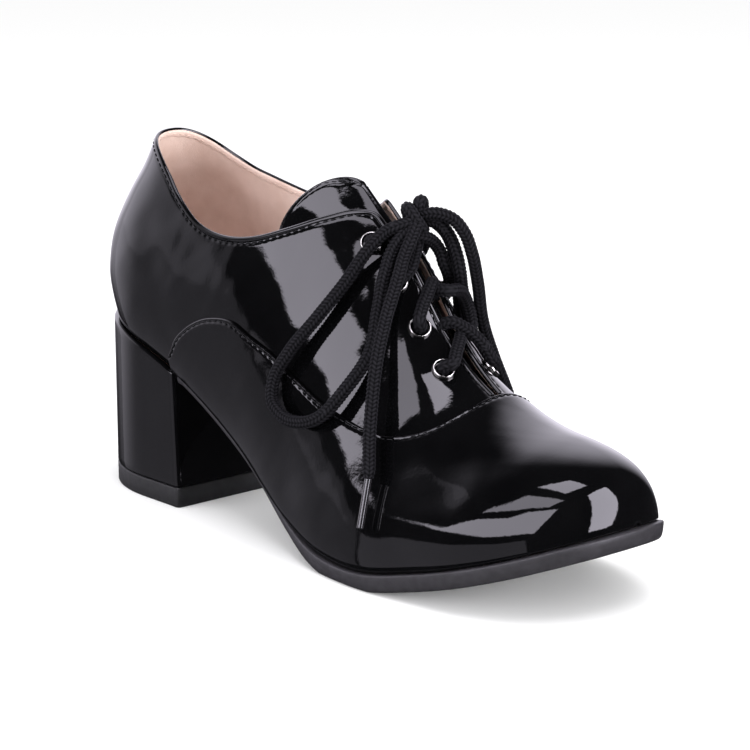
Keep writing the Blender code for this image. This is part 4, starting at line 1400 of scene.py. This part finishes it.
def facing(tree, direction):
    """Cosine between a ray and a direction."""
    where = tree.nodes.new("ShaderNodeTexCoord")
    dot = tree.nodes.new("ShaderNodeVectorMath")
    dot.operation = "DOT_PRODUCT"
    dot.inputs[1].default_value = direction
    tree.links.new(where.outputs["Generated"], dot.inputs[0])
    return dot.outputs["Value"]


def lobe_light(tree, lobe):
    """Light of one pale wall, for each direction of a ray."""
    wall = spread(tree, facing(tree, lobe.direction), lobe.spread, (0.0, 1.0))
    fade = spread(tree, facing(tree, (0, 0, 1)), lobe.top, (lobe.radiance, 0.0))
    return spread(tree, wall, (0.0, 1.0), (DARK_RADIANCE / len(LOBES), 0.0), smooth=False, top=fade)


def panel_light(tree, panel):
    """Light of one studio panel, for each direction of a ray: inside all of its edges."""
    corners = [heading(*corner) for corner in panel.corners]
    middle = sum(corners, Vector())
    edge = (-PANEL_EDGE, PANEL_EDGE)
    inside = None
    for first, second in zip(corners, corners[1:] + corners[:1]):
        normal = first.cross(second).normalized()
        normal = normal if normal.dot(middle) > 0 else -normal
        inside = spread(tree, facing(tree, normal), edge, (0.0, panel.radiance), top=inside)
    return inside


def make_world():
    """White studio for the floor and matte things; in reflections dark, with pale walls and panels."""
    world = bpy.data.worlds.new("studio")
    bpy.context.scene.world = world
    world.use_nodes = True
    tree = world.node_tree
    background = next(node for node in tree.nodes if node.type == "BACKGROUND")
    walls = [lobe_light(tree, lobe) for lobe in LOBES]
    seen, *others = walls + [panel_light(tree, panel) for panel in PANELS]
    for light in others:
        total = tree.nodes.new("ShaderNodeMath")
        total.operation = "ADD"
        tree.links.new(seen, total.inputs[0])
        tree.links.new(light, total.inputs[1])
        seen = total.outputs["Value"]
    mirrored = tree.nodes.new("ShaderNodeLightPath").outputs["Is Glossy Ray"]
    strength = spread(tree, mirrored, (0.0, 1.0), (SKY_RADIANCE, 0.0), smooth=False, top=seen)
    tree.links.new(strength, background.inputs["Strength"])
    tint = tree.nodes.new("ShaderNodeMix")
    tint.data_type = "RGBA"
    tint.inputs["A"].default_value = (1, 1, 1, 1)
    tint.inputs["B"].default_value = (*PANEL_COLOUR, 1)
    tree.links.new(mirrored, tint.inputs["Factor"])
    tree.links.new(tint.outputs["Result"], background.inputs["Color"])


def make_floor():
    """Plain white floor that does not show in reflections."""
    mesh = bpy.data.meshes.new("floor")
    half = FLOOR_SIZE / 2
    corners = [(-half, -half, 0), (half, -half, 0), (half, half, 0), (-half, half, 0)]
    mesh.from_pydata(corners, [], [(0, 1, 2, 3)])
    floor = placed("floor", mesh)
    looks = shader("white_floor", (0.96, 0.96, 0.96), 0.9, specular_ior_level=0.0)
    mesh.materials.append(looks)
    floor.visible_glossy = False


def make_camera():
    """Camera at the photograph's angle."""
    data = bpy.data.cameras.new("camera")
    data.lens = LENS_MM
    data.sensor_width = 36
    camera = placed("camera", data)
    camera.location = Vector(np.array(EYE) - ORIGIN)
    camera.rotation_euler = [math.radians(a) for a in EYE_TURN]
    bpy.context.scene.camera = camera


def build():
    """Dress the whole shoe and set it in its studio."""
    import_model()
    patent = patent_leather()
    pink = lining_leather()
    sewing = thread()
    cord_looks = lace_cord()
    edge = make_quarters(patent, sewing)
    make_lining(edge, pink, lining_thread())
    make_vamp(patent, sewing)
    make_tongue(patent, sewing)
    make_insole(pink)
    make_outsole(rubber("sole_rubber_black", (0.0165, 0.0155, 0.018), 0.5, 0.06))
    make_heel(patent)
    make_lift(rubber("lift_rubber_black", (0.008, 0.008, 0.0085), 0.55, 0.12))
    make_eyelets(eyelet_metal())
    make_crossings(cord_looks)
    make_knot(cord_looks)
    make_free_lace(cord_looks, aglet_plastic())
    make_world()
    make_floor()
    for box in SOFT_BOXES:
        soft_box(box)
    make_camera()
    bpy.context.scene.view_settings.view_transform = "Standard"


build()
